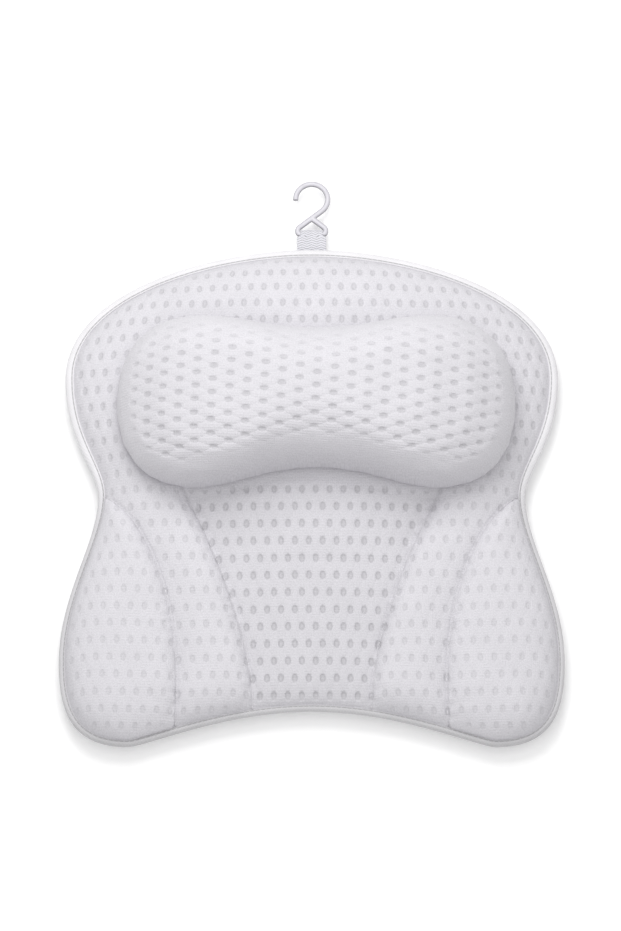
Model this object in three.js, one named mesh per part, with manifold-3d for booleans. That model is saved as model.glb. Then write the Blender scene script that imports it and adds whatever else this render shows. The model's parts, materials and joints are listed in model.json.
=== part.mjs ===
// Bath pillow: a butterfly-shaped quilted pad with a bone-shaped neck bolster, a webbing loop with a
// moulded hanger hook at the top, and suction cups buttoned into patches on its back.
// Millimetres, +Z up. The pillow lies on its cups, face up: +X is to the right and +Y towards the hook.
// Levels along the pad are measured up from the feet of its lower lobes.

import * as THREE from 'three';
import Module from 'manifold-3d';
import { mergeVertices } from 'three/addons/utils/BufferGeometryUtils.js';

// Pad outline: half widths and levels of the places where it turns, and how far each curve reaches
const PAD_HEIGHT = 430;
const CROWN_REACH = 83;
const WING_HALF_WIDTH = 204;
const WING_LEVEL = 317;
const WING_REACH_UP = 77;
const WING_REACH_DOWN = 56;
const WAIST_HALF_WIDTH = 176;
const WAIST_LEVEL = 213;
const WAIST_REACH_UP = 25;
const WAIST_REACH_DOWN = 38;
const LOBE_HALF_WIDTH = 207;
const LOBE_LEVEL = 73;
const LOBE_REACH_UP = 57;
const LOBE_REACH_DOWN = 42;
const FOOT_HALF_SPACING = 150;
const FOOT_REACH_OUT = 47;
const FOOT_REACH_IN = 14;
const ARCH_RISE = 30;
const ARCH_REACH = 72;

// Quilting seams: the outer pair runs from the waist to the arch, the inner pair ends under the bolster
const OUTER_SEAM_FOOT_X = 110;
const OUTER_SEAM_TOP_PULL = [-46, -30];
const OUTER_SEAM_FOOT_PULL = [-7, 84];
const INNER_SEAM_FOOT_X = 48;
const INNER_SEAM_TOP_X = 126;
const INNER_SEAM_TOP_LEVEL = 240;
const INNER_SEAM_TOP_PULL = [-28, -17];
const INNER_SEAM_FOOT_PULL = [-5, 56];

// Covers, edge binding and the padding's swell above the seams
const BACK_THICKNESS = 2;
const COVER_THICKNESS = 2.2;
const BINDING_WIDTH = 6.5;
const BINDING_THICKNESS = 0.9;
const WING_SWELL = 21;
const CHANNEL_SWELL = 18;
const CENTRE_SWELL = 11;
const YOKE_SWELL = 17;
const SWELL_ROLL = 30;
const SEAT_EDGE = [0.9, 1.12];

// Bolster: a bone-shaped roll, narrower and lower at its middle, drawn in at its base
const BOLSTER_LENGTH = 328;
const BOLSTER_LOBE_DEPTH = 145;
const BOLSTER_LOBE_X = 97;
const BOLSTER_UPPER_NOTCH = 10;
const BOLSTER_LOWER_NOTCH = 17;
const BOLSTER_HEIGHT = 72;
const BOLSTER_DIP = 6;
const BOLSTER_EQUATOR = 10;
const BOLSTER_BASE_INSET = 5;
const BOLSTER_LEVEL = 285;
const BOLSTER_WAIST_REACH = 45;
const BOLSTER_LOBE_REACH_IN = 32;
const BOLSTER_LOBE_REACH_OUT = 42;
const BOLSTER_END_REACH = 48;
const BOLSTER_ROUNDNESS = 2.4;

// Suction cups and the patches that they button into
const CUP_DIAMETER = 50;
const CUP_LIP_WIDTH = 2.5;
const CUP_LIP_THICKNESS = 0.6;
const CUP_DOME_HEIGHT = 8.5;
const CUP_HOLLOW_DEPTH = 5.2;
const CUP_NECK_DIAMETER = 8.4;
const CUP_NECK_LENGTH = 4.1;
const CUP_HEAD_DIAMETER = 18;
const CUP_HEAD_THICKNESS = 2.1;
const PATCH_DIAMETER = 38;
const PATCH_HEM_WIDTH = 6;
const PATCH_THICKNESS = 1.2;
const UPPER_CUP_X = 112;
const UPPER_CUP_LEVEL = 342;
const MIDDLE_CUP_X = 104;
const MIDDLE_CUP_LEVEL = 208;
const LOWER_CUP_X = 143;
const LOWER_CUP_LEVEL = 74;

// Webbing loop and the hook that hangs in it
const WEBBING_WIDTH = 24;
const GATHERED_WIDTH = 18.4;
const GATHER_LENGTH = 3;
const WEBBING_THICKNESS = 1.4;
const TAIL_LENGTH = 20;
const LOOP_LENGTH = 14;
const LOOP_SEWN_LENGTH = 5;
const HOOK_WIRE = 4;
const HOOK_RING_DIAMETER = 26.8;
const HOOK_TIP_ANGLE = 184;
const EYE_SHOULDER = 4.8;
const EYE_APEX = 14;
const EYE_CORNER_RADIUS = 2.4;
const WELD_STEP = 0.08;

// Clearances between neighbours
const SEWN_GAP = 0.3;
const FILL_GAP = 0.4;
const BUTT_GAP = 2;
const EYE_GAP = 0.5;

// Mesh layout: counts of steps, and where lines of the mesh meet the top edge between crown and wing
const CENTRE_COLUMNS = 4;
const CHANNEL_COLUMNS = 5;
const WING_COLUMNS = 5;
const LOWER_ROWS = 13;
const UPPER_ROWS = 6;
const ROW_CROWDING = 1.4;
const INNER_COLUMN_SPLIT = 0.33;
const SHOULDER_SPLIT = 0.76;
const CURVE_STEPS = 60;
const BOLSTER_SPOKES = 11;
const BOLSTER_BASE_STEPS = [0, 0.5];
const BOLSTER_CROWN_ANGLES = [0, 10, 24, 42, 60, 76];
const CUP_SIDES = 20;
const CUP_DOME_ANGLES = [30, 60];
const CUP_HOLLOW_STEPS = [0, 0.5, 1];
const WIRE_SIDES = 10;
const RING_STEPS = 16;
const STRAIGHT_STEPS = [0.15, 0.5, 0.85];
const HOOK_STEPS = 90;
const FOLD_SIDES = 16;

// Heights of the layers above the surface that the cups stand on
const cupHeight = CUP_DOME_HEIGHT + CUP_NECK_LENGTH + CUP_HEAD_THICKNESS;
const backBottom = cupHeight + SEWN_GAP;
const backTop = backBottom + BACK_THICKNESS;
const coverBottom = backTop + SEWN_GAP;
const coverTop = coverBottom + COVER_THICKNESS;
const seatSwell = Math.max(CHANNEL_SWELL, CENTRE_SWELL, YOKE_SWELL);
const bindingBottom = backBottom - SEWN_GAP - BINDING_THICKNESS;
const bindingTop = coverTop + SEWN_GAP + BINDING_THICKNESS;

// The covers end just inside the binding, and the padding starts just past it
const coverInset = BINDING_THICKNESS + SEWN_GAP;
const padInset = BINDING_WIDTH + 2 * SEWN_GAP;

// The hook hangs beyond the top edge, so the whole pillow is centred between its feet and the hook's top
const barRadius = HOOK_WIRE / 2;
const foldRadius = barRadius + SEWN_GAP + WEBBING_THICKNESS;
const rootRadius = WEBBING_THICKNESS;
const tailEnd = PAD_HEIGHT + SEWN_GAP;
const loopPivotLevel = tailEnd + SEWN_GAP + rootRadius;
const loopPivotZ = bindingBottom - SEWN_GAP - rootRadius;
const barLevel = loopPivotLevel + LOOP_LENGTH;
const ringRadius = HOOK_RING_DIAMETER / 2;
const eyeHalfWidth = GATHERED_WIDTH / 2 + EYE_GAP + barRadius;
const shankAngle = Math.atan2(EYE_APEX - EYE_SHOULDER, eyeHalfWidth);
const ringLeave = new THREE.Vector2(Math.sin(shankAngle), -Math.cos(shankAngle)).multiplyScalar(ringRadius);
const shankRise = ringLeave.x * Math.tan(shankAngle);
const ringCentre = new THREE.Vector2(0, EYE_APEX + shankRise - ringLeave.y);
const hookTop = barLevel + ringCentre.y + ringRadius + barRadius;
const pillow = new THREE.Group();
pillow.position.y = -hookTop / 2;

// Materials
const meshWhite = new THREE.MeshStandardMaterial({ color: 0xeceaef, roughness: 0.9, metalness: 0 });
const tapeWhite = new THREE.MeshStandardMaterial({ color: 0xf0eff2, roughness: 0.8, metalness: 0 });
const fibreWhite = new THREE.MeshStandardMaterial({ color: 0xf7f6f2, roughness: 1, metalness: 0 });
const hookWhite = new THREE.MeshStandardMaterial({ color: 0xe6e6ea, roughness: 0.3, metalness: 0 });
const cupClear = new THREE.MeshStandardMaterial({
  color: 0xdde6ea,
  roughness: 0.15,
  metalness: 0,
  transparent: true,
  opacity: 0.5,
});

function addPart(name, geometry, material, parent = pillow) {
  const mesh = new THREE.Mesh(geometry, material);
  mesh.name = name;
  parent.add(mesh);
  return mesh;
}

// Closed surface from points and triangles
function closedGeometry(points, triangles) {
  const geometry = new THREE.BufferGeometry();
  const coordinates = points.flatMap((point) => [point.x, point.y, point.z]);
  geometry.setAttribute('position', new THREE.Float32BufferAttribute(coordinates, 3));
  geometry.setIndex(triangles.flat());
  geometry.computeVertexNormals();
  return geometry;
}

// Steps from 0 to 1: even, crowded at both ends, at the far end, or at the near end
const even = (n) => Array.from({ length: n + 1 }, (_, k) => k / n);
const crowdedEnds = (n) => even(n).map((f) => (1 - Math.cos(Math.PI * f)) / 2);
const crowdedFar = (n) => even(n).map((f) => Math.sin((Math.PI / 2) * f));
const crowdedNear = (n) => even(n).map((f) => f ** ROW_CROWDING);

const flat = (x, y) => new THREE.Vector2(x, y);
const mix = (a, b, f) => a.clone().lerp(b, f);
const bezier = (...points) => new THREE.CubicBezierCurve(...points);

// Right half of the pad's outline, from the crown of the top edge round to the middle of the arch
const halfOutline = new THREE.CurvePath();
halfOutline.add(bezier(
  flat(0, PAD_HEIGHT),
  flat(CROWN_REACH, PAD_HEIGHT),
  flat(WING_HALF_WIDTH, WING_LEVEL + WING_REACH_UP),
  flat(WING_HALF_WIDTH, WING_LEVEL),
));
halfOutline.add(bezier(
  flat(WING_HALF_WIDTH, WING_LEVEL),
  flat(WING_HALF_WIDTH, WING_LEVEL - WING_REACH_DOWN),
  flat(WAIST_HALF_WIDTH, WAIST_LEVEL + WAIST_REACH_UP),
  flat(WAIST_HALF_WIDTH, WAIST_LEVEL),
));
halfOutline.add(bezier(
  flat(WAIST_HALF_WIDTH, WAIST_LEVEL),
  flat(WAIST_HALF_WIDTH, WAIST_LEVEL - WAIST_REACH_DOWN),
  flat(LOBE_HALF_WIDTH, LOBE_LEVEL + LOBE_REACH_UP),
  flat(LOBE_HALF_WIDTH, LOBE_LEVEL),
));
halfOutline.add(bezier(
  flat(LOBE_HALF_WIDTH, LOBE_LEVEL),
  flat(LOBE_HALF_WIDTH, LOBE_LEVEL - LOBE_REACH_DOWN),
  flat(FOOT_HALF_SPACING + FOOT_REACH_OUT, 0),
  flat(FOOT_HALF_SPACING, 0),
));
halfOutline.add(bezier(
  flat(FOOT_HALF_SPACING, 0),
  flat(FOOT_HALF_SPACING - FOOT_REACH_IN, 0),
  flat(ARCH_REACH, ARCH_RISE),
  flat(0, ARCH_RISE),
));

// A place on the outline, as a share of the half outline's length, moved in by an inset
function rimPoint(share, inset) {
  const point = halfOutline.getPoint(share);
  if (share === 0 || share === 1) {
    return flat(0, point.y + (share === 0 ? -inset : inset));
  }
  const tangent = halfOutline.getTangent(share);
  return flat(point.x + tangent.y * inset, point.y - tangent.x * inset);
}

// Places on the half outline where the pad's panels meet its edge
const lengths = halfOutline.getCurveLengths();
const wingShare = lengths[0] / lengths[4];
const waistShare = lengths[1] / lengths[4];
const footShare = lengths[3] / lengths[4];

// The share at which the arch, which runs in from the foot to the middle, comes to a given x
function archShareAt(x) {
  let outside = footShare;
  let inside = 1;
  for (let halving = 0; halving < CURVE_STEPS; halving += 1) {
    const middle = (outside + inside) / 2;
    if (halfOutline.getPoint(middle).x > x) {
      outside = middle;
    } else {
      inside = middle;
    }
  }
  return inside;
}
const innerTopShare = wingShare * INNER_COLUMN_SPLIT;
const shoulderShare = wingShare * SHOULDER_SPLIT;
const outerFootShare = archShareAt(OUTER_SEAM_FOOT_X);
const innerFootShare = archShareAt(INNER_SEAM_FOOT_X);

// Quilting seams of the right half, from foot to top
function seam(foot, footPull, top, topPull) {
  return bezier(foot, flat(...footPull).add(foot), flat(...topPull).add(top), top);
}
const outerSeam = seam(
  rimPoint(outerFootShare, padInset), OUTER_SEAM_FOOT_PULL,
  rimPoint(waistShare, padInset), OUTER_SEAM_TOP_PULL,
);
const innerSeam = seam(
  rimPoint(innerFootShare, padInset), INNER_SEAM_FOOT_PULL,
  flat(INNER_SEAM_TOP_X, INNER_SEAM_TOP_LEVEL), INNER_SEAM_TOP_PULL,
);

// A quarter of the bolster's outline about its own centre, from the notch in its long side to its end
function bolsterQuarter(notch) {
  const lobe = BOLSTER_LOBE_DEPTH / 2;
  const end = BOLSTER_LENGTH / 2;
  const quarter = new THREE.CurvePath();
  quarter.add(bezier(
    flat(0, lobe - notch),
    flat(BOLSTER_WAIST_REACH, lobe - notch),
    flat(BOLSTER_LOBE_X - BOLSTER_LOBE_REACH_IN, lobe),
    flat(BOLSTER_LOBE_X, lobe),
  ));
  quarter.add(bezier(
    flat(BOLSTER_LOBE_X, lobe),
    flat(BOLSTER_LOBE_X + BOLSTER_LOBE_REACH_OUT, lobe),
    flat(end, BOLSTER_END_REACH),
    flat(end, 0),
  ));
  return quarter;
}

// Points of a quarter moved in by an inset, from its end to the middle of its long side
function quarterPoints(quarter, inset) {
  return even(BOLSTER_SPOKES).reverse().map((share) => {
    const point = quarter.getPoint(share);
    const tangent = quarter.getTangent(share);
    const x = share === 0 ? 0 : point.x + tangent.y * inset;
    const y = share === 1 ? 0 : point.y - tangent.x * inset;
    return flat(x, y);
  });
}

// The bolster's whole outline moved in by an inset, anticlockwise from its right end
const upperQuarter = bolsterQuarter(BOLSTER_UPPER_NOTCH);
const lowerQuarter = bolsterQuarter(BOLSTER_LOWER_NOTCH);
function bolsterRing(inset) {
  const upper = quarterPoints(upperQuarter, inset);
  const lower = quarterPoints(lowerQuarter, inset).map((p) => flat(p.x, -p.y));
  const turned = (points) => points.map((p) => flat(-p.x, p.y));
  return [
    ...upper,
    ...turned(upper).reverse().slice(1),
    ...turned(lower).slice(1),
    ...lower.reverse().slice(1, -1),
  ];
}

// How far out a place on the pad lies under the bolster: 0 at its middle, 1 at its outline
function bolsterShare(place) {
  const x = Math.abs(place.x);
  const y = Math.abs(place.y - BOLSTER_LEVEL);
  const angle = Math.atan2(y, x);
  const marks = quarterPoints(place.y > BOLSTER_LEVEL ? upperQuarter : lowerQuarter, 0);
  const next = Math.max(1, marks.findIndex((mark) => mark.angle() >= angle));
  const [before, after] = [marks[next - 1], marks[next]];
  const f = (angle - before.angle()) / (after.angle() - before.angle());
  return Math.hypot(x, y) / THREE.MathUtils.lerp(before.length(), after.length(), f);
}

// Distance from a place in the right half to a curve given as points
function distanceTo(line, place) {
  let least = Infinity;
  const foot = flat(0, 0);
  for (let k = 1; k < line.length; k += 1) {
    const along = line[k].clone().sub(line[k - 1]);
    const f = place.clone().sub(line[k - 1]).dot(along) / along.lengthSq();
    foot.copy(line[k - 1]).addScaledVector(along, THREE.MathUtils.clamp(f, 0, 1));
    least = Math.min(least, foot.distanceTo(place));
  }
  return least;
}

// Swell of the padding: a round shoulder along every seam and edge, and a level seat under the bolster
const rimLine = even(2 * CURVE_STEPS).map((share) => rimPoint(share, padInset));
const seamLines = [rimLine, outerSeam.getPoints(CURVE_STEPS), innerSeam.getPoints(CURVE_STEPS)];
function swellAt(place, fullSwell) {
  let swell = fullSwell;
  for (const line of seamLines) {
    const run = Math.min(distanceTo(line, place) / SWELL_ROLL, 1);
    swell *= Math.sqrt(1 - (1 - run) ** 2);
  }
  const seated = 1 - THREE.MathUtils.smoothstep(bolsterShare(place), ...SEAT_EDGE);
  return THREE.MathUtils.lerp(swell, seatSwell, seated);
}

// Grids of the right half's panels: rows run from the arch up to the top edge, columns outwards.
// The rows close up at the waist, where the lower fills end and the yoke's fill begins.
const lowerRows = crowdedNear(LOWER_ROWS);
const yokeStart = BUTT_GAP / (PAD_HEIGHT - WAIST_LEVEL);
const upperRows = [0, ...crowdedFar(UPPER_ROWS).map((f) => yokeStart + (1 - yokeStart) * f)];
const waistRow = LOWER_ROWS;
const rowCount = LOWER_ROWS + upperRows.length;
const waistRise = WAIST_LEVEL / PAD_HEIGHT;
const rowRise = [
  ...lowerRows.map((f) => f * waistRise),
  ...upperRows.slice(1).map((f) => waistRise + f * (1 - waistRise)),
];
const rim = (from, to, steps) => steps.map((f) => rimPoint(from + (to - from) * f, padInset));

function column(lowerPoint, upperPoint) {
  return [...lowerRows.map(lowerPoint), ...upperRows.slice(1).map(upperPoint)];
}
const archMiddle = rimPoint(1, padInset);
const crownMiddle = rimPoint(0, padInset);
const seatMiddle = flat(0, INNER_SEAM_TOP_LEVEL);
const innerTop = rimPoint(innerTopShare, padInset);
const centreColumn = column(
  (f) => mix(archMiddle, seatMiddle, f),
  (f) => mix(seatMiddle, crownMiddle, f),
);
const innerColumn = column(
  (f) => innerSeam.getPointAt(f),
  (f) => mix(flat(INNER_SEAM_TOP_X, INNER_SEAM_TOP_LEVEL), innerTop, f),
);
const outerColumn = column(
  (f) => outerSeam.getPointAt(f),
  (f) => rimPoint(waistShare + (shoulderShare - waistShare) * f, padInset),
);

// Fills a four-sided panel between its two side columns and its bottom and top edges
function panel(near, far, bottom, top, across) {
  return across.map((u, i) => near.map((_, j) => {
    const v = rowRise[j];
    const place = mix(near[j], far[j], u);
    const bottomBow = bottom[i].clone().sub(mix(near[0], far[0], u));
    const topBow = top[i].clone().sub(mix(near[rowCount - 1], far[rowCount - 1], u));
    return place.addScaledVector(bottomBow, 1 - v).addScaledVector(topBow, v);
  }));
}
const centreAcross = crowdedFar(CENTRE_COLUMNS);
const channelAcross = crowdedEnds(CHANNEL_COLUMNS);
const wingAcross = crowdedEnds(WING_COLUMNS);
const centrePlaces = panel(
  centreColumn, innerColumn,
  rim(1, innerFootShare, centreAcross), rim(0, innerTopShare, centreAcross), centreAcross,
);
const channelPlaces = panel(
  innerColumn, outerColumn,
  rim(innerFootShare, outerFootShare, channelAcross),
  rim(innerTopShare, shoulderShare, channelAcross), channelAcross,
);
const lobeEdge = rim(outerFootShare, waistShare, even(LOWER_ROWS));
const wingPlaces = wingAcross.map((u) => lobeEdge.map((edge, j) => mix(outerColumn[j], edge, u)));

// Each place of a panel gets its swell: none along the edge and the seams
function swollen(places, isSewn, fullSwell) {
  return places.map((line, i) => line.map((place, j) => {
    const swell = isSewn(i, j) ? 0 : swellAt(place, fullSwell(j));
    return { x: place.x, y: place.y, swell };
  }));
}
const atEnds = (j) => j === 0 || j === rowCount - 1;
const centreGrid = swollen(
  centrePlaces,
  (i, j) => atEnds(j) || (i === CENTRE_COLUMNS && j < waistRow),
  (j) => (j > waistRow ? YOKE_SWELL : CENTRE_SWELL),
);
const channelGrid = swollen(
  channelPlaces,
  (i, j) => atEnds(j) || i === CHANNEL_COLUMNS || (i === 0 && j < waistRow),
  (j) => (j > waistRow ? YOKE_SWELL : CHANNEL_SWELL),
);
const wingGrid = swollen(
  wingPlaces,
  (i, j) => i === 0 || i === WING_COLUMNS || j === 0 || j === LOWER_ROWS,
  () => WING_SWELL,
);

// A layer is a plan of welded places, each with its swell, and the triangles between them
class Layer {
  constructor() {
    this.places = [];
    this.numbers = new Map();
    this.triangles = [];
  }

  number(place) {
    const key = `${Math.round(place.x * 500)} ${Math.round(place.y * 500)}`;
    if (!this.numbers.has(key)) {
      this.numbers.set(key, this.places.length);
      this.places.push(place);
    }
    return this.numbers.get(key);
  }

  triangle(...corners) {
    const [a, b, c] = corners.map((place) => this.number(place));
    if (a === b || b === c || c === a) {
      return;
    }
    const [p, q, r] = corners;
    const turn = (q.x - p.x) * (r.y - p.y) - (q.y - p.y) * (r.x - p.x);
    this.triangles.push(turn > 0 ? [a, b, c] : [a, c, b]);
  }

  grid(places) {
    for (let i = 1; i < places.length; i += 1) {
      for (let j = 1; j < places[i].length; j += 1) {
        this.triangle(places[i - 1][j - 1], places[i][j - 1], places[i][j]);
        this.triangle(places[i - 1][j - 1], places[i][j], places[i - 1][j]);
      }
    }
    return this;
  }

  flatPanel(edge) {
    const corners = edge.map(({ x, y }) => flat(x, y));
    for (const [a, b, c] of THREE.ShapeUtils.triangulateShape(corners, [])) {
      this.triangle(edge[a], edge[b], edge[c]);
    }
    return this;
  }

  // Closed solid between two heights, each worked out from a place's swell
  solid(bottomAt, topAt) {
    const count = this.places.length;
    const tops = this.places.map(({ x, y, swell }) => ({ x, y, z: topAt(swell) }));
    const bottoms = this.places.map(({ x, y, swell }) => ({ x, y, z: bottomAt(swell) }));
    const faces = [];
    const edges = new Set(this.triangles.flatMap(([a, b, c]) => [`${a} ${b}`, `${b} ${c}`, `${c} ${a}`]));
    for (const [a, b, c] of this.triangles) {
      faces.push([a, b, c], [a + count, c + count, b + count]);
    }
    for (const edge of edges) {
      const [a, b] = edge.split(' ').map(Number);
      if (!edges.has(`${b} ${a}`)) {
        faces.push([a, b + count, b], [a, a + count, b + count]);
      }
    }
    return closedGeometry([...tops, ...bottoms], faces);
  }
}

const mirrored = (grid) => grid.map((line) => line.map(({ x, y, swell }) => ({ x: -x, y, swell })));
const cut = (grid, i0, i1, j0, j1) => grid.slice(i0, i1 + 1).map((line) => line.slice(j0, j1 + 1));

// The rim's flat hem, between two insets, all round the right half
const rimShares = [
  ...centreAcross.map((f) => innerTopShare * f),
  ...channelAcross.slice(1).map((f) => innerTopShare + (shoulderShare - innerTopShare) * f),
  ...upperRows.slice(1, -1).reverse().map((f) => waistShare + (shoulderShare - waistShare) * f),
  ...even(LOWER_ROWS).map((f) => waistShare + (outerFootShare - waistShare) * f),
  ...channelAcross.slice(0, -1).reverse().map((f) => innerFootShare + (outerFootShare - innerFootShare) * f),
  ...centreAcross.slice(0, -1).reverse().map((f) => 1 + (innerFootShare - 1) * f),
];
function hem(inset) {
  return rimShares.map((share) => ({ ...rimPoint(share, inset), swell: 0 }));
}

// Front cover: one quilted sheet, sewn down along its seams and swelling between them
const front = new Layer();
for (const grid of [centreGrid, channelGrid, wingGrid, [hem(padInset), hem(coverInset)]]) {
  front.grid(grid).grid(mirrored(grid));
}
addPart('front_cover', front.solid((s) => coverBottom + s, (s) => coverTop + s), meshWhite);

// Back cover: a flat panel with the same edge
const backHem = hem(coverInset);
const backEdge = [...backHem, ...mirrored([backHem.slice(1, -1)])[0].reverse()];
addPart('back_cover', new Layer().flatPanel(backEdge).solid(() => backBottom, () => backTop), meshWhite);

// Fills: one in every quilted pocket, and one across the yoke above the waist
const fillBottom = () => backTop + FILL_GAP;
const fillTop = (swell) => coverBottom + swell - FILL_GAP;
function addFill(name, ...grids) {
  const fill = new Layer();
  grids.forEach((grid) => fill.grid(grid));
  addPart(name, fill.solid(fillBottom, fillTop), fibreWhite);
}
const centreFill = cut(centreGrid, 0, CENTRE_COLUMNS - 1, 1, waistRow);
const channelFill = cut(channelGrid, 1, CHANNEL_COLUMNS - 1, 1, waistRow);
const wingFill = cut(wingGrid, 1, WING_COLUMNS - 1, 1, LOWER_ROWS - 1);
const yokeMiddle = cut(centreGrid, 0, CENTRE_COLUMNS, waistRow + 1, rowCount - 2);
const yokeSide = cut(channelGrid, 0, CHANNEL_COLUMNS - 1, waistRow + 1, rowCount - 2);
addFill('centre_fill', centreFill, mirrored(centreFill));
addFill('right_channel_fill', channelFill);
addFill('left_channel_fill', mirrored(channelFill));
addFill('right_wing_fill', wingFill);
addFill('left_wing_fill', mirrored(wingFill));
addFill('yoke_fill', yokeMiddle, yokeSide, mirrored(yokeMiddle), mirrored(yokeSide));

// Edge binding: a tape folded round the rim of both covers, open inwards
function bindingGeometry() {
  const section = [
    [BINDING_WIDTH, bindingTop],
    [BINDING_THICKNESS, bindingTop],
    [0, bindingTop - BINDING_THICKNESS],
    [0, bindingBottom + BINDING_THICKNESS],
    [BINDING_THICKNESS, bindingBottom],
    [BINDING_WIDTH, bindingBottom],
    [BINDING_WIDTH, bindingBottom + BINDING_THICKNESS],
    [BINDING_THICKNESS, bindingBottom + BINDING_THICKNESS],
    [BINDING_THICKNESS, bindingTop - BINDING_THICKNESS],
    [BINDING_WIDTH, bindingTop - BINDING_THICKNESS],
  ];
  const rings = rimShares.map((share) => section.map(([inset, z]) => ({ ...rimPoint(share, inset), z })));
  const leftRings = rings.slice(1, -1).reverse().map((ring) => ring.map(({ x, y, z }) => ({ x: -x, y, z })));
  const loop = [...rings, ...leftRings];
  const sides = section.length;
  const faces = [];
  loop.forEach((_, k) => {
    const here = k * sides;
    const next = ((k + 1) % loop.length) * sides;
    for (let s = 0; s < sides; s += 1) {
      const t = (s + 1) % sides;
      faces.push([here + s, next + s, next + t], [here + s, next + t, here + t]);
    }
  });
  return closedGeometry(loop.flat(), faces);
}
addPart('edge_binding', bindingGeometry(), tapeWhite);

// Bolster, in a group whose origin is the middle of its seat
const bolster = new THREE.Group();
bolster.position.set(0, BOLSTER_LEVEL, coverTop + seatSwell + SEWN_GAP);
pillow.add(bolster);

// Heights of the bolster's upper face, lower at its middle
const crownAt = (x) => {
  const towardsLobe = Math.min(Math.abs(x) / BOLSTER_LOBE_X, 1);
  return BOLSTER_HEIGHT - BOLSTER_DIP * Math.cos((Math.PI / 2) * towardsLobe) ** 2;
};

// Rings of the bolster's rounded surface from its base to the ring below its top, inside a given skin
function bolsterRings(skin, base) {
  const outline = bolsterRing(skin);
  const below = BOLSTER_BASE_STEPS.map((f) => {
    const drawnIn = skin + BOLSTER_BASE_INSET * (1 - f) ** 2;
    const z = THREE.MathUtils.lerp(base, BOLSTER_EQUATOR, f);
    return bolsterRing(drawnIn).map(({ x, y }) => ({ x, y, z }));
  });
  const above = BOLSTER_CROWN_ANGLES.map((degrees) => {
    const angle = THREE.MathUtils.degToRad(degrees);
    const spread = Math.cos(angle) ** (2 / BOLSTER_ROUNDNESS);
    const rise = Math.sin(angle) ** (2 / BOLSTER_ROUNDNESS);
    return outline.map((p) => {
      const x = p.x * spread;
      const top = crownAt(x) - skin;
      return { x, y: p.y * spread, z: BOLSTER_EQUATOR + (top - BOLSTER_EQUATOR) * rise };
    });
  });
  return [...below, ...above];
}

// Joins stacked rings, all with as many points, and closes the last one to a point
function ringFaces(rings, first, inwards) {
  const count = rings[0].length;
  const apex = first + rings.length * count;
  const faces = [];
  for (let k = 0; k < count; k += 1) {
    const next = (k + 1) % count;
    for (let ring = 0; ring + 1 < rings.length; ring += 1) {
      const here = first + ring * count;
      const above = here + count;
      faces.push([here + k, here + next, above + next], [here + k, above + next, above + k]);
    }
    const last = first + (rings.length - 1) * count;
    faces.push([last + k, last + next, apex]);
  }
  return inwards ? faces.map(([a, b, c]) => [a, c, b]) : faces;
}

// Cover of the bolster: a domed shell, open below
function bolsterCoverGeometry(base) {
  const outer = bolsterRings(0, base);
  const inner = bolsterRings(COVER_THICKNESS, base);
  const count = outer[0].length;
  const points = [...outer.flat(), { x: 0, y: 0, z: crownAt(0) }];
  const innerFirst = points.length;
  points.push(...inner.flat(), { x: 0, y: 0, z: crownAt(0) - COVER_THICKNESS });
  const faces = [...ringFaces(outer, 0, false), ...ringFaces(inner, innerFirst, true)];
  for (let k = 0; k < count; k += 1) {
    const next = (k + 1) % count;
    faces.push([k, innerFirst + k, next], [next, innerFirst + k, innerFirst + next]);
  }
  return closedGeometry(points, faces);
}

// Fill of the bolster: a domed solid with a flat base
function bolsterFillGeometry(base) {
  const skin = COVER_THICKNESS + FILL_GAP;
  const rings = bolsterRings(skin, base);
  const count = rings[0].length;
  const points = [...rings.flat(), { x: 0, y: 0, z: crownAt(0) - skin }, { x: 0, y: 0, z: base }];
  const faces = ringFaces(rings, 0, false);
  for (let k = 0; k < count; k += 1) {
    faces.push([(k + 1) % count, k, points.length - 1]);
  }
  return closedGeometry(points, faces);
}

// Backing of the bolster: a flat panel under its whole base
function bolsterBackingGeometry() {
  const edge = bolsterRing(BOLSTER_BASE_INSET).map(({ x, y }) => ({ x, y, swell: 0 }));
  return new Layer().flatPanel(edge).solid(() => 0, () => BACK_THICKNESS);
}
addPart('bolster_backing', bolsterBackingGeometry(), meshWhite, bolster);
addPart('bolster_cover', bolsterCoverGeometry(BACK_THICKNESS + SEWN_GAP), meshWhite, bolster);
addPart('bolster_fill', bolsterFillGeometry(BACK_THICKNESS + FILL_GAP), fibreWhite, bolster);

// Round piece about the Z axis, from the radius and height of each point of its profile
function lathe(profile) {
  const points = profile.map(([radius, z]) => flat(radius, z));
  return new THREE.LatheGeometry(points, CUP_SIDES).rotateX(Math.PI / 2);
}

// Suction cup: a shallow soft dome on a flat lip, with a neck and a button head
function cupGeometry() {
  const lip = CUP_DIAMETER / 2;
  const neck = CUP_NECK_DIAMETER / 2;
  const head = CUP_HEAD_DIAMETER / 2;
  const headBottom = CUP_DOME_HEIGHT + CUP_NECK_LENGTH;
  const hollow = lip - CUP_LIP_WIDTH;
  const dome = CUP_DOME_ANGLES.map((degrees) => {
    const angle = THREE.MathUtils.degToRad(degrees);
    const rise = CUP_DOME_HEIGHT - CUP_LIP_THICKNESS;
    return [neck + (lip - neck) * Math.cos(angle), CUP_LIP_THICKNESS + rise * Math.sin(angle)];
  });
  return lathe([
    ...CUP_HOLLOW_STEPS.map((f) => [hollow * f, CUP_HOLLOW_DEPTH * (1 - f * f)]),
    [lip, 0],
    [lip, CUP_LIP_THICKNESS],
    ...dome,
    [neck, CUP_DOME_HEIGHT],
    [neck, headBottom],
    [head, headBottom],
    [head, cupHeight],
    [0, cupHeight],
  ]);
}

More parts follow.
